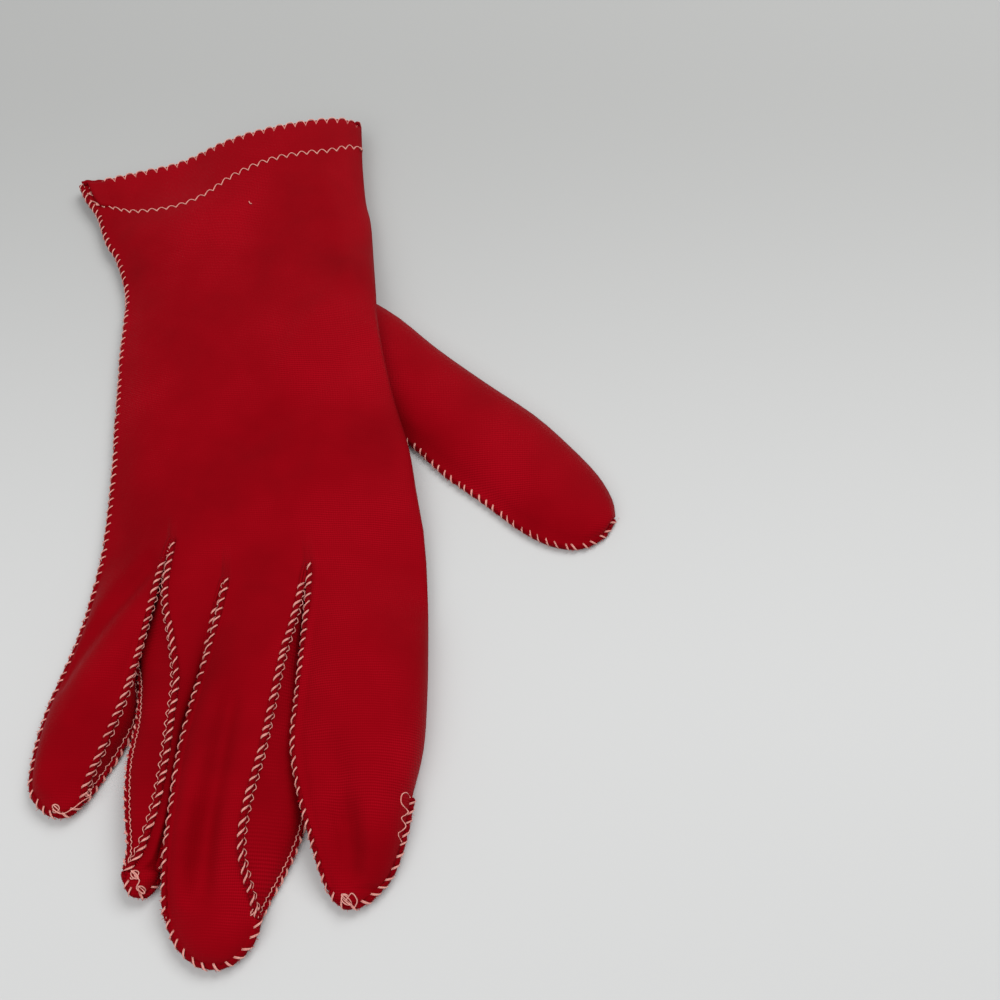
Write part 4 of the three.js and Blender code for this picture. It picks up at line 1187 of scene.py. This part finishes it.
def curvePiece(name, strands, material, sides=1):
    # round strands as one piece, each of them its points and their radii in millimetres
    data = bpy.data.curves.new(name, "CURVE")
    data.dimensions = "3D"
    data.bevel_depth = millimetre
    data.bevel_resolution = sides
    data.use_fill_caps = True
    data.materials.append(material)
    for points, radii in strands:
        spline = data.splines.new("POLY")
        spline.points.add(len(points) - 1)
        spline.use_smooth = True
        for target, point, radius in zip(spline.points, points, radii):
            target.co = (*toRow(point), 1)
            target.radius = radius
    piece = addObject(name, data)
    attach(piece, "root")
    print(name, len(strands), "strands")
    return piece


def rawEdge(samples, start):
    # the bead of a seam's raw edges, drawn in under its stitches
    points = []
    radii = []
    for sample in samples:
        turn = (sample["s"] - start) / seamLook["pitch"]
        drawn = seamLook["scallop"] * (0.5 + 0.5 * math.cos(2 * math.pi * turn)) ** 2
        rough = noise.noise(sample["point"] * seamLook["grain"]) * seamLook["uneven"]
        radii.append(seamLook["radius"] * (1 - drawn + rough))
        point = sample["point"] + sample["up"] * (seamLook["bead"] + rough / 2)
        points.append(notUnder(point, radii[-1]))
    radii[0] = radii[-1] = seamLook["end"] * seamLook["radius"]
    return points, radii


def whipStitch(sample, course):
    # two thin strands that go over the raw edge, slanting along the seam
    lean = course["lean"] * random.uniform(*stitchLook["leans"])
    first, until = (course[end] + random.uniform(*spread)
                    for end, spread in zip(("from", "until"), stitchLook["angles"]))
    thick = stitchLook["strand"] * random.uniform(*stitchLook["radii"])
    slip = random.uniform(-1, 1) * stitchLook["jitter"]
    strands = []
    for strand in (-1, 1):
        points = []
        radii = []
        for j in range(stitchLook["points"]):
            u = j / (stitchLook["points"] - 1)
            high = math.sin(math.pi * u)
            angle = math.radians(mix(first, until, u))
            slide = slip + lean * (2 * u - 1) + stitchLook["apart"] * strand * thick
            out = stitchLook["arch"] * high + stitchLook["lift"] * max(0, -math.sin(angle))
            reach = stitchLook["reach"] + out + stitchLook["over"] * strand
            point = sample["bead"] + around(sample, angle) * reach + sample["along"] * slide
            points.append(notUnder(point, thick))
            radii.append(thick * mix(stitchLook["taper"], 1, high))
        strands.append((points, radii))
    return strands


def footThread(samples, start):
    # the thread that runs along the seam's foot, on the side of the strip between the fingers
    points = []
    for sample in samples:
        turn = 2 * math.pi * (sample["s"] - start) / seamLook["pitch"]
        out = footLook["out"] + footLook["wave"] * math.sin(turn)
        up = footLook["up"] + footLook["lift"] * math.cos(2 * turn)
        point = sample["point"] - sample["side"] * out + sample["up"] * up
        points.append(notUnder(point, footLook["radius"]))
    return points, [footLook["radius"]] * len(points)


def looseFibres(samples):
    strands = []
    for sample in samples:
        for n in range(round(fibreLook["count"] * seamLook["step"] + random.random())):
            out = around(sample, math.radians(random.uniform(*fibreLook["angles"])))
            foot = sample["bead"] + out * (fibreLook["foot"] * seamLook["radius"])
            foot = foot + sample["along"] * random.uniform(-1, 1)
            wild = Vector([random.uniform(-1, 1) for axis in range(3)])
            tip = foot + (out + wild * fibreLook["wild"]) * random.uniform(*fibreLook["length"])
            points = [foot, foot.lerp(tip, 0.5) + wild * fibreLook["bend"], tip]
            if min(point.z for point in points) > fibreLook["low"]:
                strands.append((points, fibreLook["radii"]))
    return strands


def thumbSeam():
    # the thumb's seam, along its lower edge and over its tip
    cells = thumbShape["seamCells"]
    last = len(thumbTable) - 1
    line = []
    for k in range(thumbShape["seamFirst"], last * thumbShape["ringSteps"] + 1):
        start, lower, upper, across = thumbRingAt(k / thumbShape["ringSteps"], cells)
        line.append((lower[-1] + middleUp, across))
    heart = thumbRingAt(last - thumbShape["seamAim"], cells)[1][cells // 2]
    for point in lower[::-2][1:]:
        line.append((point + middleUp, (point - heart).normalized()))
    return seamFrames(line)


runs = [(frames, sideStitch) for frames in (*(tips[name]["frames"] for name in order), thumbSeam())]
for slit in slits:
    back = slit["back"]
    upTo = slit["apex"]
    while back[slit["apex"]]["s"] - back[upTo - 1]["s"] < seamLook["merge"]:
        upTo -= 1
    for part in (slit["palm"], back[:upTo], back[slit["apex"]:]):
        runs.append(([{**frame, "s": frame["s"] - part[0]["s"]} for frame in part], forkStitch))

beads = []
stitches = []
feet = []
fibres = []
for frames, course in runs:
    samples = resample(frames, seamLook["step"])
    start = random.uniform(*seamLook["first"]) * seamLook["pitch"]
    beads.append(rawEdge(samples, start))
    fibres += looseFibres(samples)
    if course is forkStitch:
        feet.append(footThread(resample(frames, seamLook["pitch"] / footLook["steps"]), start))
    s = start
    while s < frames[-1]["s"] - seamLook["endGap"]:
        stitches += whipStitch(samples[min(round(s / seamLook["step"]), len(samples) - 1)], course)
        s += seamLook["pitch"]


# The cuff: a zigzag line that holds the turned-up band, and a thread over the folded edge

cuffLook = {
    "zigzag": 3.1,  # length of one zigzag
    "wave": 1.5,  # and its height
    "thread": 0.16,
    "threadSize": (1.15, 0.80),  # at the zigzag's points and in its middle
    "lift": (0.08, 0.15),  # of the zigzag over the cloth, at its points and in its middle
    "edgePitch": 3.3,
    "edge": 0.86,
    "edgeSize": (0.72, 1),  # between two bows and at a bow
    "edgeSwell": 0.7,
    "out": (0.1, 0.55),  # how far the edge's middle lies out, between two bows and at a bow
    "edgeThread": 0.17,
    "edgeThreadSize": (1.25, 0.90),
    "bowAngle": (5, 50),  # how far over the edge the thread bows, from straight up
    "bowLift": 0.2,
    "dip": 1.3,  # how far it reaches back over the cloth between two bows
    "steps": 12,
    "count": 400,  # points to measure the way round the cuff
    "row": 0.02,  # of the folded edge, and how far back its direction is taken
    "back": 0.2,
    "corner": 0.014,  # share of its width over which the thread turns to the other side
    "facing": 0.6,  # cloth that faces up or down less than this isn't looked for by a ray
    "reach": 12,
}
trankTree = BVHTree.FromPolygons(trank.points, trank.faces)


def cuffPoint(t, turn):
    # a point on the cuff's cloth and the way that it faces
    u = acrossCuff(turn)
    point = cuffPlace(t, turn)
    normal = Vector((0, 0, 1 if turn <= 1 else -1))
    beside = smooth(1 - min(u, 1 - u) / cuffLook["corner"])
    normal = normal.lerp(Vector((1 if u > 0.5 else -1, 0, 0)), beside).normalized()
    if abs(normal.z) > cuffLook["facing"]:
        away = Vector((0, 0, cuffLook["reach"] * normal.z))
        hit = trankTree.ray_cast(point + away, Vector((0, 0, -normal.z)), 2 * cuffLook["reach"])[0]
        point.z = hit.z if hit else point.z
    return point, normal


def cuffSamples(tAt, pitch):
    # evenly spaced places round the cuff: the height of the arch or bow there, and the turn
    turns = [2 * i / cuffLook["count"] for i in range(cuffLook["count"] + 1)]
    points = [cuffPoint(tAt(turn), turn)[0] for turn in turns]
    lengths = [0, *itertools.accumulate((b - a).length for a, b in zip(points, points[1:]))]
    step = pitch / cuffLook["steps"]
    wanted = [k * step for k in range(int(lengths[-1] / step) + 1)]
    return [(abs(math.sin(math.pi * s / pitch)), mix(turns[i], turns[i + 1], t))
            for s, (i, t) in zip(wanted, placesAt(lengths, wanted))]


def cuffZigzag():
    # arches that meet in points, from the hem's side seam right round
    points = []
    radii = []
    for arch, turn in cuffSamples(hemDepth, cuffLook["zigzag"]):
        here, normal = cuffPoint(hemDepth(turn), turn)
        out = (cuffPoint(hemDepth(turn) - cuffLook["back"], turn)[0] - here).normalized()
        lift = lie + mix(*cuffLook["lift"], arch)
        point = here + out * (cuffLook["wave"] * (arch - 0.5)) + normal * lift
        points.append(notUnder(point, cuffLook["thread"]))
        radii.append(cuffLook["thread"] * mix(*cuffLook["threadSize"], arch))
    return points, radii


def cuffEdge():
    # the folded edge swells between the places where its thread goes over it and draws it in
    edge = ([], [])
    thread = ([], [])
    for bow, turn in cuffSamples(lambda turn: cuffLook["row"], cuffLook["edgePitch"]):
        here, normal = cuffPoint(cuffLook["row"], turn)
        out = (here - cuffPoint(cuffLook["row"] + cuffLook["back"], turn)[0]).normalized()
        radius = cuffLook["edge"] * mix(*cuffLook["edgeSize"], bow ** cuffLook["edgeSwell"])
        middle = here - normal * (cloth["layer"] / 2) + out * mix(*cuffLook["out"], bow)
        edge[0].append(notUnder(middle, radius))
        edge[1].append(radius)
        angle = math.radians(mix(*cuffLook["bowAngle"], bow ** 0.5))
        bent = out * math.sin(angle) + normal * math.cos(angle)
        point = middle + bent * (radius + cuffLook["bowLift"]) - out * (cuffLook["dip"] * (1 - bow) ** 2)
        thread[0].append(notUnder(point, cuffLook["edgeThread"]))
        thread[1].append(cuffLook["edgeThread"] * mix(*cuffLook["edgeThreadSize"], bow))
    return edge, thread


# Loose threads: knots at the fingertips and at the cuff's corner, a loop on the index finger and a
# speck of lint. Each end goes smoothly through its points.

looseLook = {"radius": 0.13, "points": 36, "high": 30, "steps": 6, "flat": 0.45, "shift": 6,
             "turns": (0.83, 1.31)}
knots = (
    ((-52.2, -89.6, 3.2), 0.8, 2.0),  # place, size and turns
    ((-45.6, -86.0, 3.4), 0.8, 2.0),
    ((-31.4, -104.4, 5.0), 0.9, 2.6),
    ((-29.8, -107.4, 3.4), 0.7, 2.0),
    ((-4.2, -112.0, 4.0), 0.8, 2.0),
    ((15.6, -109.4, 3.4), 1.1, 2.6),
    ((-76.6, 98.2, 3.0), 0.8, 1.6),
    ((-73.4, 93.6, 3.0), 0.9, 2.2))
looseEnds = (
    ((28.9, -87.4, 4.6), (28.2, -86.6, 5.2), (27.2, -87.4, 5.4), (27.2, -89.2, 4.8),
     (28.6, -90.6, 4.8), (27.2, -92.2, 5.0), (28.2, -93.8, 4.6), (26.6, -95.6, 4.6),
     (27.4, -97.2, 4.0)),
    ((-53.0, -89.8, 3.4), (-50.6, -90.8, 3.7), (-48.4, -89.8, 3.9), (-46.4, -88.0, 3.8),
     (-45.0, -86.8, 3.2)),
    ((-31.4, -104.6, 5.4), (-30.2, -105.6, 5.2), (-30.8, -107.2, 4.2), (-29.4, -108.2, 3.4)),
    ((15.4, -109.8, 3.6), (16.8, -108.2, 4.0), (18.0, -109.6, 3.6), (17.4, -111.0, 2.8)),
    ((-25.6, 87.9, 3.0), (-25.2, 87.2, 3.0), (-24.7, 87.0, 3.0)),
    ((-77.8, 99.8, 3.0), (-75.8, 99.0, 3.0)),
    ((-78.0, 97.6, 3.0), (-75.8, 96.6, 3.0)),
    ((-76.8, 94.8, 3.0), (-75.0, 94.0, 3.0), (-73.2, 93.0, 3.0), (-71.0, 93.0, 3.0)))


def knotted(place, size, turns):
    shift = [random.uniform(0, looseLook["shift"]) for axis in range(3)]
    points = []
    for i in range(looseLook["points"]):
        turn = 2 * math.pi * turns * i / looseLook["points"]
        across, along = (turn * share for share in looseLook["turns"])
        way = Vector((math.sin(turn + shift[0]), math.cos(across + shift[1]),
                      looseLook["flat"] * math.sin(along + shift[2])))
        points.append(Vector(place) + way * size)
    return points


def curled(corners):
    table = tableOf("xyz", corners)
    rows = [rowAt(table, k / looseLook["steps"]) for k in range((len(table) - 1) * looseLook["steps"] + 1)]
    return [Vector([*row.values()]) for row in rows]


def onCloth(points):
    # a strand, lifted where it would sink into the glove
    for point in points:
        above = Vector((point.x, point.y, looseLook["high"]))
        under = trankTree.ray_cast(above, Vector((0, 0, -1)))[0]
        if under:
            notUnder(point, under.z + lie + 2 * looseLook["radius"])
    return points, [looseLook["radius"]] * len(points)


cuffFold, cuffThread = cuffEdge()
looseStrands = [onCloth(points) for points in
                [knotted(*knot) for knot in knots] + [curled(corners) for corners in looseEnds]]
threads = [
    curvePiece("raw_edges", beads, rawNylon, 2),
    # the cuff's fold bead carries painted shade in its darker nylon
    curvePiece("cuff_fold", [cuffFold], foldNylonPaintedShade, 2),
    # the fibres carry painted light in their brightened nylon
    curvePiece("loose_fibres", fibres, fuzzNylonPaintedLight, 0),
    curvePiece("whip_stitches", stitches, paleThread),
    curvePiece("foot_threads", feet, paleThread),
    curvePiece("hem_stitches", [cuffZigzag(), cuffThread], paleThread),
    curvePiece("loose_threads", looseStrands, paleThread),
]
print("seams made")


# Camera, floor and light

view = {"tilt": 28, "at": (49.5, -145.5, 259.27), "focal": 1100, "frame": 1000, "sensor": 36,
        "near": 0.01}
camera = bpy.data.cameras.new("camera")
camera.sensor_width = view["sensor"]
camera.lens = view["sensor"] * view["focal"] / view["frame"]
camera.clip_start = view["near"]
cameraObject = addObject("camera", camera)
cameraObject.location = toRow(Vector(view["at"]))
cameraObject.rotation_euler = (math.radians(view["tilt"]), 0, 0)
bpy.context.scene.camera = cameraObject

# The table's colour carries painted shade: it darkens from near to far, in place of the light falling off
# across it
floorLook = {
    "size": 3.0,
    "colours": ((0, (0.388, 0.390, 0.384)), (1, (0.566, 0.569, 0.567))),  # far and near
    "from": 0.16,
    "until": -0.08,
    "shader": {"Roughness": 0.6, "Specular IOR Level": 0.2},
}


# painted shade: the floor's colour follows its Y, darker far off and lighter near
def floorInputsPaintedShade(tree):
    axes = addNode(tree, "SeparateXYZ", {"Vector": placeOf(tree)})
    ranged = addNode(tree, "MapRange", {"Value": axes.outputs["Y"], "From Min": floorLook["from"],
                                        "From Max": floorLook["until"]})
    ranged.interpolation_type = "SMOOTHSTEP"
    return {"Base Color": colourRamp(tree, ranged.outputs["Result"], floorLook["colours"]),
            **floorLook["shader"]}


bm = bmesh.new()
bmesh.ops.create_grid(bm, x_segments=2, y_segments=2, size=floorLook["size"])
floorMesh = bpy.data.meshes.new("floor")
bm.to_mesh(floorMesh)
bm.free()
floorMesh.materials.append(newMaterial("paleTable", floorInputsPaintedShade))
addObject("floor", floorMesh)

lights = (
    {"name": "window", "at": (0.45, 0.55, 0.9), "aim": (0, 0, 0), "size": 0.7, "power": 9.2},
    {"name": "room", "at": (-0.4, -0.6, 1.0), "aim": (0, -0.05, 0), "size": 1.2, "power": 9.0},
)
for item in lights:
    lamp = bpy.data.lights.new(item["name"], "AREA")
    lamp.shape = "SQUARE"
    lamp.size = item["size"]
    lamp.energy = item["power"]
    lampObject = addObject(item["name"], lamp)
    lampObject.location = item["at"]
    way = Vector(item["aim"]) - Vector(item["at"])
    lampObject.rotation_euler = way.to_track_quat("-Z", "Y").to_euler()
worldLook = {"Color": (0.99, 1.0, 1.0, 1), "Strength": 0.38}
world = bpy.data.worlds.new("room")
world.use_nodes = True
for name, value in worldLook.items():
    world.node_tree.nodes["Background"].inputs[name].default_value = value
bpy.context.scene.world = world
bpy.context.scene.view_settings.view_transform = "Standard"
